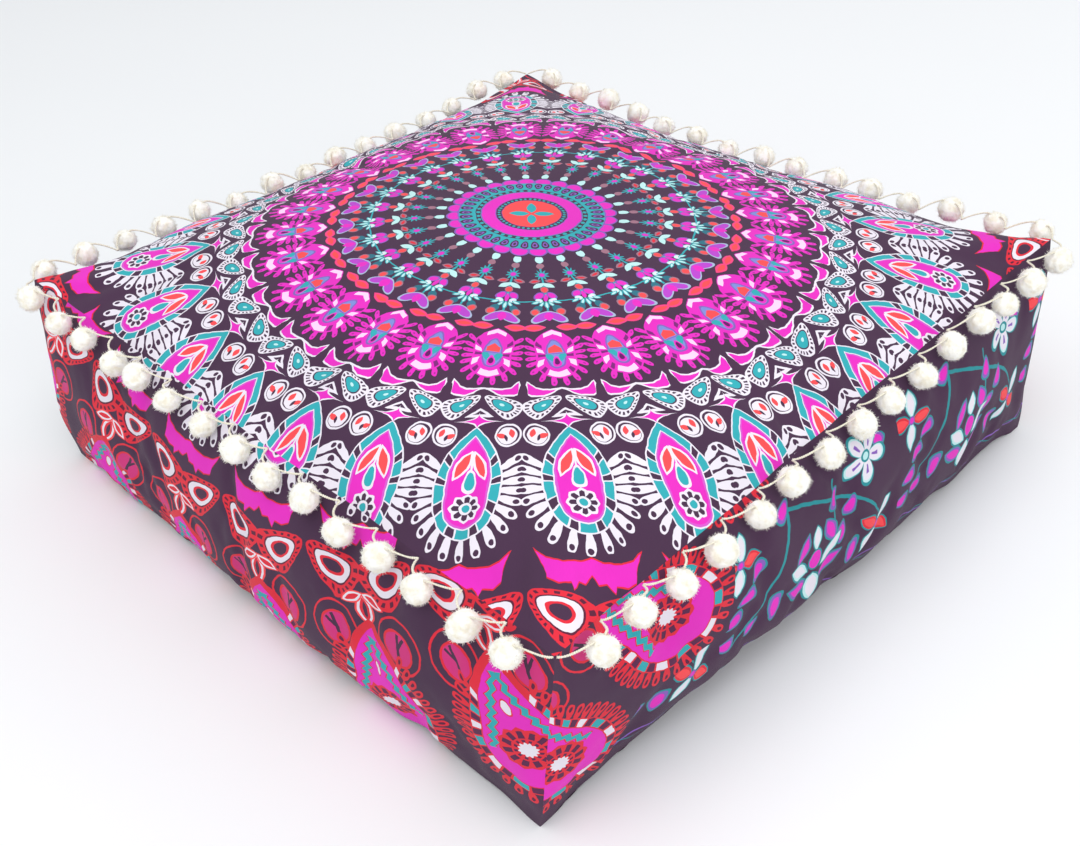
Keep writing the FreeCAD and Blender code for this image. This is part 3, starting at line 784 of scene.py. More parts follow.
def weave(d, uv, thread, strength=0.25):
    """Plain weave: warp over weft, with uneven threads. The bump's normal."""
    x, y = d.parts(d.placed(uv, (0, 0), (thread / math.pi, thread / math.pi)))
    height = d.both(d.math("SINE", x), d.math("SINE", y))
    slub = d.cloud(uv, 1 / (thread * 14))
    return d.bump(d.math("MULTIPLY_ADD", slub, 2.2, height), strength, 0.00025)


SHAKE = 0.0013


def print_material(name, zones):
    """Printed cotton. zones are the rings this panel is cut from."""
    material, d = new_material(name)
    ink = inks()
    uv = in_cloth(d)
    normal = weave(d, uv, 0.0009)
    # the screen's edges aren't quite sharp
    shaky = d.cloud(uv, 95, 1).node.outputs["Color"]
    offset = d.vector("MULTIPLY_ADD", shaky, (2 * SHAKE, 2 * SHAKE, 0), (-SHAKE, -SHAKE, 0))
    x, y = d.parts(d.vector("ADD", uv, offset))
    r = d.length(x, y)
    angle = d.math("ARCTAN2", y, x)
    turn = folded(d, angle, REPEATS, AXIS)
    t = d.math("MULTIPLY", turn, r)
    turn_share = d.math("MULTIPLY", turn, REPEATS / math.pi)
    # the dyed ground, a little uneven
    shade = d.math("MULTIPLY_ADD", d.cloud(uv, 7, 3), 0.28, 0.86)
    surface = None
    makers = {
        "centre": lambda: centre_rings(d, ink, angle, r),
        "spokes": lambda: spokes(d, ink, t, r),
        "medallions": lambda: medallions(d, ink, t, r, turn_share),
        "feathers": lambda: feathers(d, ink, t, r),
        "crowns": lambda: crowns(d, ink, t, r, turn_share),
        "plumes": lambda: (crowns(d, ink, t, r, turn_share), plumes(d, ink, t, r)),
        "florals": lambda: florals(d, ink, d.math("MULTIPLY_ADD", x, 1 / BAND_STRETCH,
                                                  -BAND_TURN / BAND_STRETCH - 0.253),
                                   d.math("MULTIPLY_ADD", x, BAND_TILT, d.math(
                                       "MULTIPLY_ADD", y, -1.0, -0.505 - 0.048))),
    }
    limits = {
        "centre": lambda: d.below(0.1145, r),
        "spokes": lambda: d.below(0.2575, r),
        "medallions": lambda: d.below(0.4275, d.math("MULTIPLY_ADD", t, 0.35, r)),
        "feathers": lambda: d.below(0.5865, d.math("MULTIPLY_ADD", t, 0.2, r)),
        "plumes": lambda: d.below(0.9620, d.math("MULTIPLY_ADD", t, 0.7, r)),
    }
    for index, zone in enumerate(zones):
        d.colour = ink["ground"]
        makers[zone]()
        lit = d.vector("SCALE", d.colour, None, None, shade)
        shader = cloth_surface(d, lit, normal)
        if surface is None:
            surface = shader
        else:
            mix = d.nodes.new("ShaderNodeMixShader")
            d.put(mix.inputs[0], limits[zones[index - 1]]())
            d.links.new(surface, mix.inputs[1])
            d.links.new(shader, mix.inputs[2])
            surface = mix.outputs[0]
    return finished(d, material, surface)


def plain_cloth(name, colour, thread=0.0006, roughness=0.85, printed=True, strength=0.3):
    """Plain woven cloth, a little uneven in its dye."""
    material, d = new_material(name)
    place = in_cloth(d) if printed else in_object(d)
    normal = weave(d, place, thread, strength)
    mixed = d.node("ShaderNodeMix", data_type="RGBA")
    d.put(mixed.inputs["Factor"], d.math("MULTIPLY_ADD", d.cloud(place, 9, 4), 0.4, 0.8))
    d.put(mixed.inputs[6], tuple(0.7 * c for c in colour))
    d.put(mixed.inputs[7], colour)
    return finished(d, material, cloth_surface(d, mixed.outputs[2], normal, roughness))


def wool_material():
    """Cut ivory yarn, bright and soft, with painted shade: darker and a little yellower in the
    hollows of its tufts.
    """
    material, d = new_material("ivory_wool")
    place = in_object(d)
    fine, tuft_and_shade = d.cloud(place, 900), d.cloud(place, 190, 3)
    normal = d.bump(d.math("MULTIPLY_ADD", tuft_and_shade, 1.5, fine), 0.5, 0.0008)
    # painted shade: the yarn's ivory is darker and yellower where the tufts' bump is low
    tone = d.tones(tuft_and_shade, (0.32, (0.86, 0.81, 0.67)), (0.58, (0.97, 0.955, 0.90)))
    return finished(d, material, d.surface(
        tone, normal, Roughness=0.95, Specular_IOR_Level=0.1, Sheen_Weight=0.35,
        Sheen_Roughness=0.6))


def cord_material():
    """Twisted cotton cord."""
    material, d = new_material("ivory_cord")
    fibre = d.cloud(in_object(d), 1400)
    tone = d.tones(fibre, (0.35, (0.66, 0.60, 0.46)), (0.60, (0.90, 0.86, 0.74)))
    return finished(d, material, d.surface(
        tone, d.bump(fibre, 0.5, 0.0003), Roughness=0.8, Sheen_Weight=0.3))


def metal_material():
    """Nickel-plated zinc, rubbed at its high spots."""
    material, d = new_material("nickel_plate")
    rub = d.cloud(in_object(d), 420, 4)
    tone = d.tones(rub, (0.35, (0.42, 0.41, 0.40)), (0.65, (0.66, 0.65, 0.63)))
    rough = d.math("MULTIPLY_ADD", rub, 0.25, 0.18)
    return finished(d, material, d.surface(tone, Metallic=1, Roughness=rough))


def plastic_material():
    """Dark nylon of the zip's coil."""
    material, d = new_material("nylon_coil")
    tint = d.cloud(in_object(d), 300)
    tone = d.tones(tint, (0.3, (0.030, 0.018, 0.030)), (0.7, (0.055, 0.035, 0.055)))
    rough = d.math("MULTIPLY_ADD", tint, 0.2, 0.35)
    return finished(d, material, d.surface(tone, Roughness=rough))


# ---- Cover: one closed shape, blown up as cloth, then cut into its panels ----
ACROSS = 96
ROWS_ABOVE_ZIP, ROWS_AT_ZIP, ROWS_BELOW_ZIP = 15, 2, 11
ZIP_GAP = 0.006
SLIT_HALF = 0.2055
PANELS = ("top_panel", "bottom_panel", "front_side_panel", "right_side_panel",
          "back_side_panel", "left_side_panel")
CLOTH_DOWN = 0.305
BAG_DEPTH, FILLING_DEPTH = 0.0040, 0.0065
FILLING_FRAMES = 20
PATCH_ROUNDS, WRINKLE_GAIN = 36, 1.6
CORNER_STILL = 0.03
# The front band runs on round the front corner, a little askew.
BAND_TURN, BAND_STRETCH, BAND_TILT = 0.48, 0.92, 0.10


def w_at_height(height):
    return float(1 - height / CORNER_HEIGHT)


def side_rows():
    upper, lower = w_at_height(ZIP_MIDDLE + ZIP_GAP), w_at_height(ZIP_MIDDLE - ZIP_GAP)
    rows = list(np.linspace(0, upper, ROWS_ABOVE_ZIP, endpoint=False))
    rows += list(np.linspace(upper, lower, ROWS_AT_ZIP, endpoint=False))
    rows += list(np.linspace(lower, 1, ROWS_BELOW_ZIP + 1))
    return np.array(rows)


def stretched_top(x, y):
    """Where a point of the filled top lies in the print: the filling has pulled it askew."""
    return (x + 0.001 - 0.039 * x - 0.057 * y + 0.07 * x * y,
            y + 0.007 + 0.012 * x + 0.005 * y - 0.072 * x * x + 0.03 * y * y)


def band_place(along, down):
    """The side band is cut further out in the print, by its seam's allowance."""
    return 0.87 * along + 0.053 + 0.17 * down, -0.53 - down


def panel_uv(panel, u, w):
    """The print's place for a point of a panel."""
    if panel == "top_panel":
        return stretched_top(u / 2, w / 2)
    if panel == "bottom_panel":
        return u / 2, w / 2
    down = CLOTH_DOWN * w
    if panel in ("front_side_panel", "back_side_panel"):
        return band_place(u / 2, down)
    if panel == "right_side_panel":
        past = (u + 1) / 2
        return BAND_TURN + BAND_STRETCH * past, -0.505 - down + BAND_TILT * past
    return BAND_TURN + 0.6 + u / 2, -0.505 - down


def read(collection, name, width=3, kind=float):
    """An attribute of every vertex, edge or loop, as rows."""
    values = np.empty(len(collection) * width, kind)
    collection.foreach_get(name, values)
    return values.reshape(-1, width)


def cushion_grid():
    """Vertices, faces, each face's panel and its corners' places in the print."""
    line = np.linspace(-1, 1, ACROSS + 1)
    rows = side_rows()
    points, index = [], {}

    def vertex(key, place):
        if key not in index:
            index[key] = len(points)
            points.append(place)
        return index[key]

    grids = {}
    u, v = np.meshgrid(line, line, indexing="ij")
    grids["top_panel"] = (crown_point(u, v), u, v)
    grids["bottom_panel"] = (cap_point(1, u, v), u, v)
    for side in SIDES:
        u, w = np.meshgrid(line, rows, indexing="ij")
        grids[side + "_side_panel"] = (side_point(side, u, w), u, w)
    faces, panels, uvs = [], [], []
    for number, panel in enumerate(PANELS):
        place, u, w = grids[panel]
        keys = np.round(place * 1e6).astype(int)
        columns, lines = place.shape[0], place.shape[1]
        ids = np.empty((columns, lines), int)
        for i in range(columns):
            for j in range(lines):
                edge = i in (0, columns - 1) or j in (0, lines - 1)
                key = tuple(keys[i, j]) if edge else (panel, i, j)
                ids[i, j] = vertex(key, place[i, j])
        su, sv = panel_uv(panel, u, w)
        sv = np.broadcast_to(sv, su.shape)
        for i in range(columns - 1):
            for j in range(lines - 1):
                loop = [(i, j), (i + 1, j), (i + 1, j + 1), (i, j + 1)]
                if panel != "top_panel":
                    loop.reverse()
                faces.append([ids[a] for a in loop])
                panels.append(number)
                uvs.extend((su[a], sv[a]) for a in loop)
    return np.array(points), faces, panels, uvs


def blown_up(cover, pin, seam, ease, cap):
    """Fills the cover: it swells and wrinkles as cloth, and moves no further than cap."""
    start = read(cover.data.vertices, "co")
    for name, weights in (("pin", pin), ("slack", 1 - seam)):
        group = cover.vertex_groups.new(name=name)
        for number, weight in enumerate(weights):
            if weight > 0:
                group.add([number], float(weight), "REPLACE")
    cloth = cover.modifiers.new("cloth", "CLOTH")
    options = cloth.settings
    options.quality = 5
    options.mass = 0.25
    options.tension_stiffness = 18
    options.compression_stiffness = 18
    options.shear_stiffness = 6
    options.bending_stiffness = 0.35
    options.use_pressure = True
    options.uniform_pressure_force = 5 * settings().fullness
    options.effector_weights.gravity = 0
    options.vertex_group_mass = "pin"
    options.pin_stiffness = 1
    options.vertex_group_shrink = "slack"
    options.shrink_min = 0.006
    options.shrink_max = -ease
    cloth.collision_settings.use_collision = False
    scene = bpy.context.scene
    scene.frame_start, scene.frame_end = 1, FILLING_FRAMES
    for number in range(1, FILLING_FRAMES + 1):
        scene.frame_set(number)
    graph = bpy.context.evaluated_depsgraph_get()
    moved = read(cover.evaluated_get(graph).data.vertices, "co")
    cover.modifiers.remove(cloth)
    scene.frame_set(1)
    cover.vertex_groups.clear()
    move = moved - start
    edges = read(cover.data.edges, "vertices", 2, int)
    move = (move - broad_part(move, edges, PATCH_ROUNDS)) * WRINKLE_GAIN
    length = np.linalg.norm(move, axis=1, keepdims=True)
    move *= cap * np.tanh(length / cap) / np.maximum(length, 1e-9)
    return start + move


def broad_part(move, edges, rounds):
    """What a movement has in common over a wide patch: all but its wrinkles."""
    count = np.bincount(edges.ravel(), minlength=len(move)).astype(float)
    for _ in range(rounds):
        total = np.stack([np.bincount(edges[:, 0], move[edges[:, 1], axis], len(move))
                          + np.bincount(edges[:, 1], move[edges[:, 0], axis], len(move))
                          for axis in range(3)], -1)
        move = 0.5 * move + 0.5 * total / count[:, None]
    return move


def wavy(values, step, seed):
    """Smooth random waves along a line, about -1 to 1."""
    rng = np.random.default_rng(seed)
    knots = rng.uniform(-1, 1, 600)
    place = np.asarray(values) / step + 200
    low = np.floor(place).astype(int)
    part = place - low
    part = part * part * (3 - 2 * part)
    return knots[low] * (1 - part) + knots[low + 1] * part


def creased(points, normals, panels):
    """Seam puckers, soft folds down the sides and hollows in the top, along the normals."""
    x, y, z = points[:, 0], points[:, 1], points[:, 2]
    push = np.zeros(len(points))
    across = {"front": (x, TOP_HALF + y), "back": (x, TOP_HALF - y),
              "right": (y, TOP_HALF - x), "left": (y, TOP_HALF + x)}
    for number, side in enumerate(SIDES):
        along, inwards = across[side]
        top = panels["top_panel"]
        on_side = panels[side + "_side_panel"]
        gap = np.where(on_side, np.clip(CORNER_HEIGHT - z, 0, None), np.clip(inwards, 0, None))
        pucker = wavy(along, 0.0115, 10 + number) * np.exp(-gap / 0.012) * 0.0009
        pucker += wavy(along, 0.031, 20 + number) * np.exp(-gap / 0.035) * 0.0016
        pucker -= np.exp(-gap / 0.005) * 0.0010
        push += np.where(top | on_side, pucker, 0)
        low_gap = np.clip(z, 0, None)
        folds = wavy(along, 0.026, 30 + number) * np.exp(-low_gap / 0.030) * 0.0020
        folds += wavy(along + 0.35 * z, 0.060, 40 + number) * 0.0022
        push += np.where(on_side, folds, 0)
    waves = np.array([noise.noise(Vector(p) * 9) + 0.4 * noise.noise(Vector(p) * 21)
                      for p in points])
    push += waves * np.where(panels["bottom_panel"], 0.0, 0.0030)
    return points + normals * push[:, None]


def lifted(points):
    """The base's edge stands off the floor here and there, rolled under the filling."""
    x, y, z = points[:, 0] / TOP_HALF, points[:, 1] / TOP_HALF, points[:, 2]
    low = 1 - smooth(0, 0.060, z)
    lift = np.zeros(len(points))
    for out, along, centre, spread, height in (
            (x, y, -0.32, 0.38, 0.012), (x, y, 0.45, 0.35, 0.003), (-y, x, -0.10, 0.60, 0.002),
            (-x, y, 0.0, 0.60, 0.007), (y, x, 0.0, 0.60, 0.006)):
        edge = smooth(0.80, 1.0, out)
        lift = lift + height * edge * np.exp(-((along - centre) / spread) ** 2)
    points = points.copy()
    points[:, 2] += low * lift * (1 - smooth(0.035, 0.06, z))
    points[:, 0] -= low * lift * 0.35 * np.sign(x) * smooth(0.80, 1.0, np.abs(x))
    points[:, 1] -= low * lift * 0.35 * np.sign(y) * smooth(0.80, 1.0, np.abs(y))
    return points


def with_mesh(name, points, faces, material=None):
    mesh = bpy.data.meshes.new(name)
    mesh.from_pydata([tuple(p) for p in points], [], [tuple(f) for f in faces])
    mesh.update()
    thing = bpy.data.objects.new(name, mesh)
    bpy.context.collection.objects.link(thing)
    if material is not None:
        mesh.materials.append(material)
    return thing


def applied(thing):
    """Replaces the mesh with what its modifiers make of it."""
    graph = bpy.context.evaluated_depsgraph_get()
    graph.update()
    mesh = bpy.data.meshes.new_from_object(thing.evaluated_get(graph))
    thing.modifiers.clear()
    thing.data = mesh
    return thing


def shaded_smooth(thing):
    thing.data.polygons.foreach_set("use_smooth", [True] * len(thing.data.polygons))


def cover_materials():
    dark = inks()["ground"]
    return {
        "top_panel": print_material("printed_cotton_top", ("centre", "spokes", "medallions",
                                                            "feathers", "crowns")),
        "bottom_panel": plain_cloth("plain_cotton_base", tuple(0.8 * c for c in dark)),
        "front_side_panel": print_material("printed_cotton_front", ("feathers", "plumes")),
        "right_side_panel": print_material("printed_cotton_right", ("plumes", "florals")),
        "back_side_panel": print_material("printed_cotton_back", ("feathers", "plumes")),
        "left_side_panel": print_material("printed_cotton_left", ("florals",)),
    }


class CUSHION_OT_cover(bpy.types.Operator):
    """Cuts, sews and fills the printed cover, with the lining and the filling inside it"""
    bl_idname = "cushion.cover"
    bl_label = "Cover and filling"

    def execute(self, context):
        options = settings()
        points, faces, panels, uvs = cushion_grid()
        points = settled(points)
        whole = with_mesh("cover", points, faces)
        mesh = whole.data
        mesh.polygons.foreach_set("material_index", panels)
        layer = mesh.uv_layers.new(name="cloth")
        layer.data.foreach_set("uv", np.array(uvs, float).ravel())
        shaded_smooth(whole)
        # seams are the edges between two panels
        panel_of = {}
        seam_edges = set()
        for polygon in mesh.polygons:
            for key in polygon.edge_keys:
                if key in panel_of and panel_of[key] != polygon.material_index:
                    seam_edges.add(key)
                panel_of[key] = polygon.material_index
        seam = np.zeros(len(points))
        for key in seam_edges:
            seam[list(key)] = 1
        still = (smooth(0.27, 0.30, points[:, 1])
                 * (1 - smooth(0.225, 0.26, np.abs(points[:, 0])))
                 * (1 - smooth(0.012, 0.030, np.abs(points[:, 2] - ZIP_MIDDLE))))
        sewn = points
        points = blown_up(whole, still, seam, options.ease, options.give)
        normals = read(mesh.vertex_normals, "vector")
        belongs = {name: np.zeros(len(points), bool) for name in PANELS}
        for polygon in mesh.polygons:
            belongs[PANELS[polygon.material_index]][list(polygon.vertices)] = True
        points = lifted(creased(points, normals, belongs))
        for corner in [side_point(side, 1.0, w) for side in SIDES for w in (0.0, 1.0)]:
            near = np.exp(-(np.linalg.norm(sewn - settled(corner), axis=1) / CORNER_STILL) ** 2)
            still = np.maximum(still, near)
        points = points + (sewn - points) * still[:, None]
        points[:, 2] = np.maximum(points[:, 2], 0)
        mesh.vertices.foreach_set("co", points.ravel())
        mesh.update()
        self.inside(whole)
        crease = mesh.attributes.new("crease_edge", "FLOAT", "EDGE")
        values = [1.0 if tuple(sorted(edge.vertices)) in seam_edges else 0.0
                  for edge in mesh.edges]
        crease.data.foreach_set("value", values)
        cut = whole.modifiers.new("fine", "SUBSURF")
        cut.levels = cut.render_levels = 1
        applied(whole)
        self.panels(whole)
        return {"FINISHED"}

    def inside(self, whole):
        """The lining bag and the filling, one inside the other."""
        mesh = whole.data
        normals = read(mesh.vertex_normals, "vector")
        start = read(mesh.vertices, "co")
        faces = [tuple(polygon.vertices) for polygon in mesh.polygons]
        for name, depth, material, slot in (
                ("inner_bag_cloth", BAG_DEPTH, plain_cloth(
                    "lining_cloth", (0.72, 0.70, 0.64), 0.0006, 0.9, False), "lining_cloth"),
                ("filling_fibre", FILLING_DEPTH, plain_cloth(
                    "filling_fibre", (0.82, 0.82, 0.80), 0.004, 0.95, False, 0.6),
                 "filling_fibre")):
            thing = with_mesh(name, start - normals * depth, faces, material)
            shaded_smooth(thing)
            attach(thing, "cover")
            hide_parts("inner_bag" if name == "inner_bag_cloth" else "filling")

    def panels(self, whole):
        """Separates the filled cover into its six panels."""
        mesh = whole.data
        materials = cover_materials()
        co = read(mesh.vertices, "co")
        uv = read(mesh.uv_layers["cloth"].data, "uv", 2)
        for number, name in enumerate(PANELS):
            remap, points, faces, corners = {}, [], [], []
            for polygon in mesh.polygons:
                if polygon.material_index != number:
                    continue
                if name == "back_side_panel" and self.in_slit(polygon.center):
                    continue
                face = []
                for vertex in polygon.vertices:
                    if vertex not in remap:
                        remap[vertex] = len(points)
                        points.append(co[vertex])
                    face.append(remap[vertex])
                faces.append(face)
                corners.extend(uv[loop] for loop in polygon.loop_indices)
            panel = with_mesh(name + "_cloth", points, faces, materials[name])
            panel.data.uv_layers.new(name="cloth").data.foreach_set(
                "uv", np.array(corners, float).ravel())
            shaded_smooth(panel)
            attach(panel, "cover")
            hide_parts(name)
        bpy.data.objects.remove(whole)

    def in_slit(self, centre):
        return abs(centre[0]) < SLIT_HALF and abs(centre[2] - ZIP_MIDDLE) < ZIP_GAP


# ---- Trim ----

def seam_place(side, share):
    """A point on the top seam, share from 0 to 1 along the side."""
    return settled(side_point(side, 2 * share - 1, 0.0))


def side_frame(side):
    """Along the side and out from it."""
    return {"front": (Vector((1, 0, 0)), Vector((0, -1, 0))),
            "right": (Vector((0, 1, 0)), Vector((1, 0, 0))),
            "back": (Vector((-1, 0, 0)), Vector((0, 1, 0))),
            "left": (Vector((0, -1, 0)), Vector((-1, 0, 0)))}[side]


def pom_shape(rng, radius):
    """One ball of cut yarn: a lumpy body and the fibre ends that stand out of it."""
    ball = bmesh.new()
    bmesh.ops.create_icosphere(ball, subdivisions=4, radius=1)
    seed = Vector((rng.random() * 50, rng.random() * 50, rng.random() * 50))
    stretch = Vector((1 + rng.uniform(-0.06, 0.10), 1 + rng.uniform(-0.08, 0.04),
                      1 + rng.uniform(-0.10, 0.06)))
    points, faces = [], []
    for vertex in ball.verts:
        way = vertex.co.normalized()
        lump = 0.10 * noise.noise(way * 1.7 + seed) + 0.050 * noise.noise(way * 5 + seed)
        lump += 0.035 * noise.noise(way * 13 + seed)
        place = way * radius * 0.93 * (1 + lump)
        points.append(Vector(a * b for a, b in zip(place, stretch)))
    faces = [[vertex.index for vertex in face.verts] for face in ball.faces]
    ball.free()
    for _ in range(YARN_ENDS):
        way = Vector((rng.gauss(0, 1), rng.gauss(0, 1), rng.gauss(0, 1))).normalized()
        lean = Vector((rng.gauss(0, 1), rng.gauss(0, 1), rng.gauss(0, 1))).normalized()
        lump = 1 + 0.10 * noise.noise(way * 1.7 + seed) + 0.050 * noise.noise(way * 5 + seed)
        root = Vector(a * b for a, b in zip(way * radius * 0.90 * lump, stretch))
        length = radius * rng.uniform(0.12, 0.26)
        middle = root + way * length * 0.55 + lean * length * 0.16
        tip = root + (way + lean * 0.55).normalized() * length
        across = way.cross(lean).normalized()
        other = way.cross(across).normalized()
        thick = radius * 0.014
        first = len(points)
        for centre, width in ((root, thick), (middle, thick * 0.8)):
            for corner in range(3):
                turn = corner * 2 * math.pi / 3
                points.append(centre + (across * math.cos(turn) + other * math.sin(turn)) * width)
        points.append(tip)
        for corner in range(3):
            after = (corner + 1) % 3
            faces.append([first + corner, first + after, first + 3 + after, first + 3 + corner])
            faces.append([first + 3 + corner, first + 3 + after, first + 6])
    return points, faces


def twisted(path, radius, strands=2, sides=6, turns_per_metre=330):
    """A cord of twisted yarns that follows the path."""
    path = [Vector(p) for p in path]
    points, faces = [], []
    lengths = [0]
    for a, b in zip(path, path[1:]):
        lengths.append(lengths[-1] + (b - a).length)
    frames = []
    normal = None
    for index, place in enumerate(path):
        ahead = path[min(index + 1, len(path) - 1)] - path[max(index - 1, 0)]
        ahead.normalize()
        if normal is None:
            normal = ahead.orthogonal().normalized()
        normal = (normal - ahead * normal.dot(ahead)).normalized()
        frames.append((normal.copy(), ahead.cross(normal)))
    yarn = radius * 0.56
    for strand in range(strands):
        first = len(points)
        for place, length, (x, y) in zip(path, lengths, frames):
            turn = 2 * math.pi * (strand / strands + length * turns_per_metre)
            centre = place + (x * math.cos(turn) + y * math.sin(turn)) * (radius - yarn)
            for side in range(sides):
                angle = 2 * math.pi * side / sides
                points.append(centre + (x * math.cos(angle) + y * math.sin(angle)) * yarn)
        count = len(path)
        for ring in range(count - 1):
            for side in range(sides):
                a = first + ring * sides + side
                b = first + ring * sides + (side + 1) % sides
                faces.append([a, b, b + sides, a + sides])
        faces.append([first + side for side in reversed(range(sides))])
        faces.append([first + (count - 1) * sides + side for side in range(sides)])
    return points, faces


def bezier_run(a, b, c, d, steps):
    return [a * (1 - t) ** 3 + b * 3 * t * (1 - t) ** 2 + c * 3 * t * t * (1 - t) + d * t ** 3
            for t in (i / steps for i in range(steps + 1))]


# How far the pom-poms hang to one side of the middle between their tacks.
LEAN = {"front": -0.0045, "right": 0.0050, "back": -0.0040, "left": 0.0040}
# How much higher than the frame's they stand, stiff on their cord.
RISE = {"front": 0, "right": 0.002, "back": 0.005, "left": 0.005}
POM_DROP, POM_OUT = 0.0062, 0.0142
POM_SHAPES, YARN_ENDS = 6, 420


class CUSHION_OT_trim(bpy.types.Operator):
    """Hangs the wool pom-poms on their cord, which is tacked along the top seam"""
    bl_idname = "cushion.trim"
    bl_label = "Pom-pom trim"

    def execute(self, context):
        rng = random.Random(11)
        options = settings()
        wool, cord = wool_material(), cord_material()
        shapes = [pom_shape(rng, options.pom_size / 2) for _ in range(POM_SHAPES)]
        per_row = POMS_PER_SIDE // ROWS_PER_SIDE
        for side in SIDES:
            along, out = side_frame(side)
            for row in range(1, ROWS_PER_SIDE + 1):
                wool_points, wool_faces, cord_points, cord_faces = [], [], [], []
                for index in range((row - 1) * per_row, row * per_row):
                    first = Vector(seam_place(side, index / POMS_PER_SIDE))
                    second = Vector(seam_place(side, (index + 1) / POMS_PER_SIDE))
                    middle = (first + second) / 2
                    centre = middle + along * (LEAN[side] + rng.uniform(-0.003, 0.003))
                    centre += out * (POM_OUT + rng.uniform(-0.0008, 0.0016))
                    centre.z -= POM_DROP + rng.uniform(-0.004, 0.004) - RISE[side]
                    self.add_pom(rng, shapes, centre, wool_points, wool_faces)
                    self.add_cords(rng, first, second, centre, along, out, options,
                                   cord_points, cord_faces)
                body = "%s_pom_row_%d" % (side, row)
                balls = with_mesh("%s_wool_poms_%d" % (side, row), wool_points, wool_faces, wool)
                shaded_smooth(balls)
                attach(balls, body)
                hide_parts("%s_poms_%d" % (side, row))
                strands = with_mesh("%s_trim_cord_%d" % (side, row), cord_points, cord_faces,
                                    cord)
                shaded_smooth(strands)
                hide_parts("%s_pom_cord_%d" % (side, row))
                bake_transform(strands)
        return {"FINISHED"}

    def hinge_of(self, body):
        for joint in frame["record"]["behaviour"]["joints"]:
            if joint["child"] == body:
                return joint["pos_m"]
        raise RuntimeError("no joint turns " + body)

    def add_pom(self, rng, shapes, centre, points, faces):
        shape_points, shape_faces = rng.choice(shapes)
        turn = Matrix.Rotation(rng.uniform(0, 2 * math.pi), 3, "Z")
        turn = turn @ Matrix.Rotation(rng.uniform(-0.6, 0.6), 3, "X")
        first = len(points)
        size = rng.uniform(0.95, 1.05)
        points.extend(centre + turn @ (p * size) for p in shape_points)
        faces.extend([first + number for number in face] for face in shape_faces)

    def add_cords(self, rng, first, second, centre, along, out, options, points, faces):
        """Two strands: from a tack down to the pom-pom, and on to the next tack."""
        radius = options.pom_size / 2
        up = Vector((0, 0, 1))
        for tack, way in ((first, -1), (second, 1)):
            start = tack + out * 0.0012 + up * 0.0003 - along * way * 0.0004
            start += along * rng.uniform(-0.0006, 0.0006)
            end = centre + along * way * radius * 0.30 + up * radius * 0.62 - out * radius * 0.25
            far = abs((tack - centre).dot(along)) > 0.02
            bulge = out * (0.006 + rng.uniform(-0.001, 0.002)) + up * (0.0015 if far else -0.001)
            one = start + bulge * 0.9 + (end - start) * 0.15
            two = end + up * 0.0055 + out * 0.0015 + along * way * 0.002
            path = bezier_run(start, one, two, end, 22)
            made_points, made_faces = twisted(path, options.cord_size / 2)
            base = len(points)
            points.extend(made_points)
            faces.extend([base + number for number in face] for face in made_faces)


# ---- Zip ----
COIL_PITCH, COIL_STEPS = 0.0013, 8
COIL_DEPTH, COIL_INSET, COIL_WIRE = 0.00042, 0.00032, 0.00030
COIL_SUNK = 0.00025

class CUSHION_OT_zip(bpy.types.Operator):
    """Gives the zip its coil and its finishes"""
    bl_idname = "cushion.zip"
    bl_label = "Zip"

    def execute(self, context):
        metal, nylon = metal_material(), plastic_material()
        tape = plain_cloth("zip_tape_cloth", (0.040, 0.024, 0.040), 0.0007, 0.8, False, 0.4)
        nodes = frame["nodes"]
        for name, material in (("zip_slider", metal), ("zip_pull", metal),
                               ("zip_end_stops", metal), ("zip_tape_upper", tape),
                               ("zip_tape_lower", tape)):
            self.coat(nodes[name], material)
        self.coils(nylon)
        return {"FINISHED"}

    def coat(self, thing, material):
        thing.data.materials.clear()
        thing.data.materials.append(material)

    def coils(self, material):
        """Each half of the chain is a wound coil: flat loops that mesh with the other's."""
        for name, way in (("zip_coil_upper", 1), ("zip_coil_lower", -1)):
            low, high = (Vector(corner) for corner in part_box(name))
            middle = (low + high) / 2
            half = (high - low) / 2
            turns = int((high.x - low.x) / COIL_PITCH)
            path = []
            for step in range(turns * COIL_STEPS + 1):
                turn = 2 * math.pi * step / COIL_STEPS
                x = low.x + COIL_PITCH * step / COIL_STEPS
                y = self.face(x) + COIL_DEPTH * math.sin(turn)
                z = middle.z + (half.z - COIL_INSET) * math.cos(turn) * way
                path.append((x, y, z))
            points, faces = twisted(path, COIL_WIRE, strands=1, sides=4, turns_per_metre=0)
            coil = with_mesh(name + "_wound", points, faces, material)
            shaded_smooth(coil)
            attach(coil, "cover")
            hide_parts(name)

    def face(self, x):
        """Where the chain's middle lies, out from the cushion, at x."""
        w = w_at_height(ZIP_MIDDLE)
        u = -x / TOP_HALF
        return float(side_local("back", np.array(u), np.array(w))[1]) - COIL_SUNK


# ---- Stage ----
FLOOR_REACH = 8
SKY_STRENGTH = 0.72
# name, place, size and power
LIGHTS = (("key", (0.4, -1.0, 2.5), 2.2, 34), ("fill", (2.4, -0.2, 1.4), 1.6, 12),
          ("back", (0.2, 2.4, 1.8), 1.8, 10))
LENS = 44.3
CAMERA_PLACE = Vector((1.135, -1.1078, 1.2465)) * SIDE_LENGTH
CAMERA_ANGLES = (45.96, 37.62, -2.49)

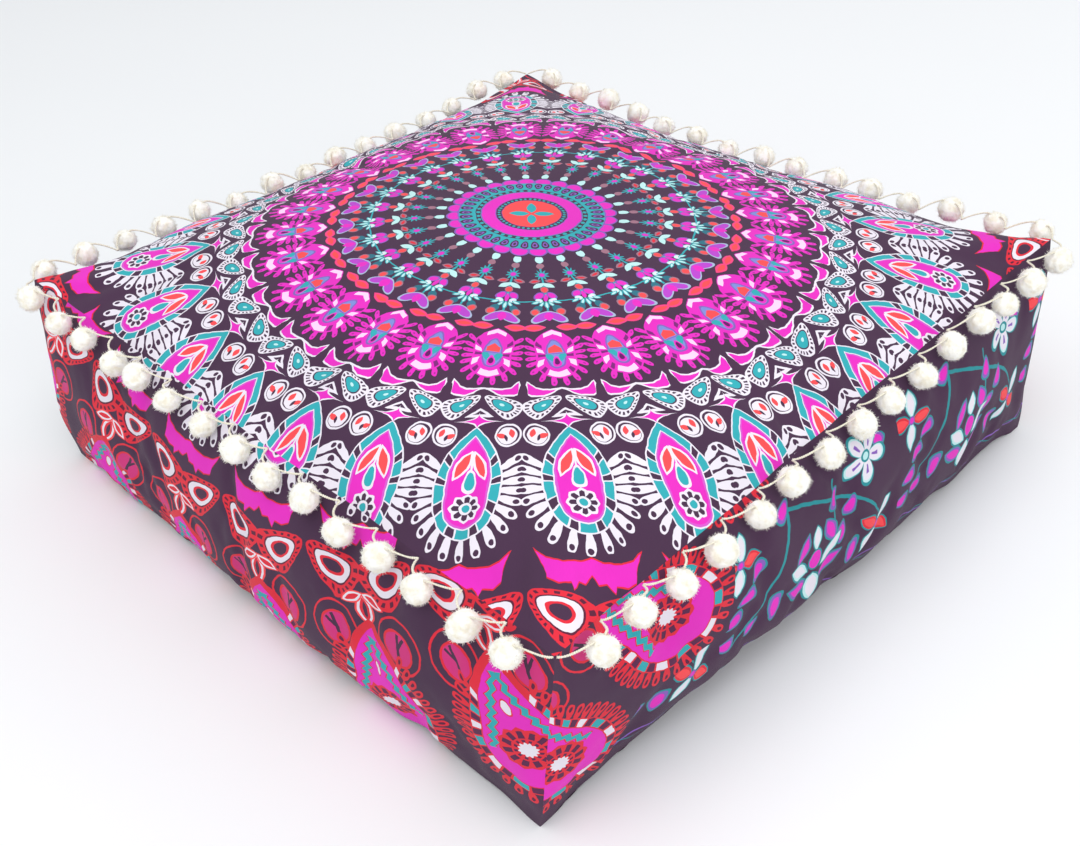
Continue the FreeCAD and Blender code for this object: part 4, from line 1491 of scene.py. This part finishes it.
class CUSHION_OT_stage(bpy.types.Operator):
    """Sets the pale floor, the soft lights and the camera"""
    bl_idname = "cushion.stage"
    bl_label = "Floor, lights and camera"

    def execute(self, context):
        self.floor()
        self.lights()
        self.camera()
        context.scene.view_settings.view_transform = "Standard"
        return {"FINISHED"}

    def floor(self):
        corners = [(x * FLOOR_REACH, y * FLOOR_REACH, 0)
                   for x, y in ((-1, -1), (1, -1), (1, 1), (-1, 1))]
        material, d = new_material("pale_floor")
        tone = d.tones(d.cloud(in_object(d), 1.5), (0, (0.86, 0.87, 0.885)),
                       (1, (0.89, 0.90, 0.91)))
        finished(d, material, d.surface(tone, Roughness=0.6))
        with_mesh("floor", corners, [(0, 1, 2, 3)], material)

    def lights(self):
        world = bpy.data.worlds.new("studio")
        world.use_nodes = True
        sky = world.node_tree.nodes["Background"]
        sky.inputs["Color"].default_value = (0.96, 0.98, 1.0, 1)
        sky.inputs["Strength"].default_value = SKY_STRENGTH
        bpy.context.scene.world = world
        for name, place, size, power in LIGHTS:
            light = bpy.data.lights.new(name, "AREA")
            light.size = size
            light.energy = power
            lamp = bpy.data.objects.new(name, light)
            lamp.location = place
            lamp.rotation_euler = (Vector((0, 0, 0.1)) - Vector(place)).to_track_quat(
                "-Z", "Y").to_euler()
            bpy.context.collection.objects.link(lamp)

    def camera(self):
        data = bpy.data.cameras.new("camera")
        data.sensor_width = 36
        data.lens = LENS
        camera = bpy.data.objects.new("camera", data)
        azimuth, elevation, roll = (math.radians(a) for a in CAMERA_ANGLES)
        back = Vector((math.sin(azimuth) * math.cos(elevation),
                       -math.cos(azimuth) * math.cos(elevation), math.sin(elevation)))
        level = Vector((math.cos(azimuth), math.sin(azimuth), 0))
        up = back.cross(level)
        right = level * math.cos(roll) + up * math.sin(roll)
        up = back.cross(right)
        camera.matrix_world = Matrix.Translation(CAMERA_PLACE) @ Matrix(
            (right, up, back)).transposed().to_4x4()
        bpy.context.collection.objects.link(camera)
        bpy.context.scene.camera = camera


class CUSHION_PT_make(bpy.types.Panel):
    bl_label = "Floor cushion"
    bl_idname = "CUSHION_PT_make"
    bl_space_type = "VIEW_3D"
    bl_region_type = "UI"
    bl_category = "Cushion"

    def draw(self, context):
        column = self.layout.column()
        for name in ("fullness", "ease", "give", "pom_size", "cord_size"):
            column.prop(context.scene.cushion, name)
        for name in INK_NAMES:
            column.prop(context.scene.cushion_print, name)
        for operator in OPERATORS:
            column.operator(operator.bl_idname)


OPERATORS = (CUSHION_OT_stage, CUSHION_OT_cover, CUSHION_OT_trim, CUSHION_OT_zip)
CLASSES = (CushionSettings, PrintColours, *OPERATORS, CUSHION_PT_make)


def register():
    for each in CLASSES:
        bpy.utils.register_class(each)
    bpy.types.Scene.cushion = bpy.props.PointerProperty(type=CushionSettings)
    bpy.types.Scene.cushion_print = bpy.props.PointerProperty(type=PrintColours)


def unregister():
    del bpy.types.Scene.cushion_print
    del bpy.types.Scene.cushion
    for each in reversed(CLASSES):
        bpy.utils.unregister_class(each)


def main():
    register()
    bpy.ops.cushion.stage()
    bpy.ops.cushion.cover()
    bpy.ops.cushion.trim()
    bpy.ops.cushion.zip()


if __name__ == "__main__":
    main()
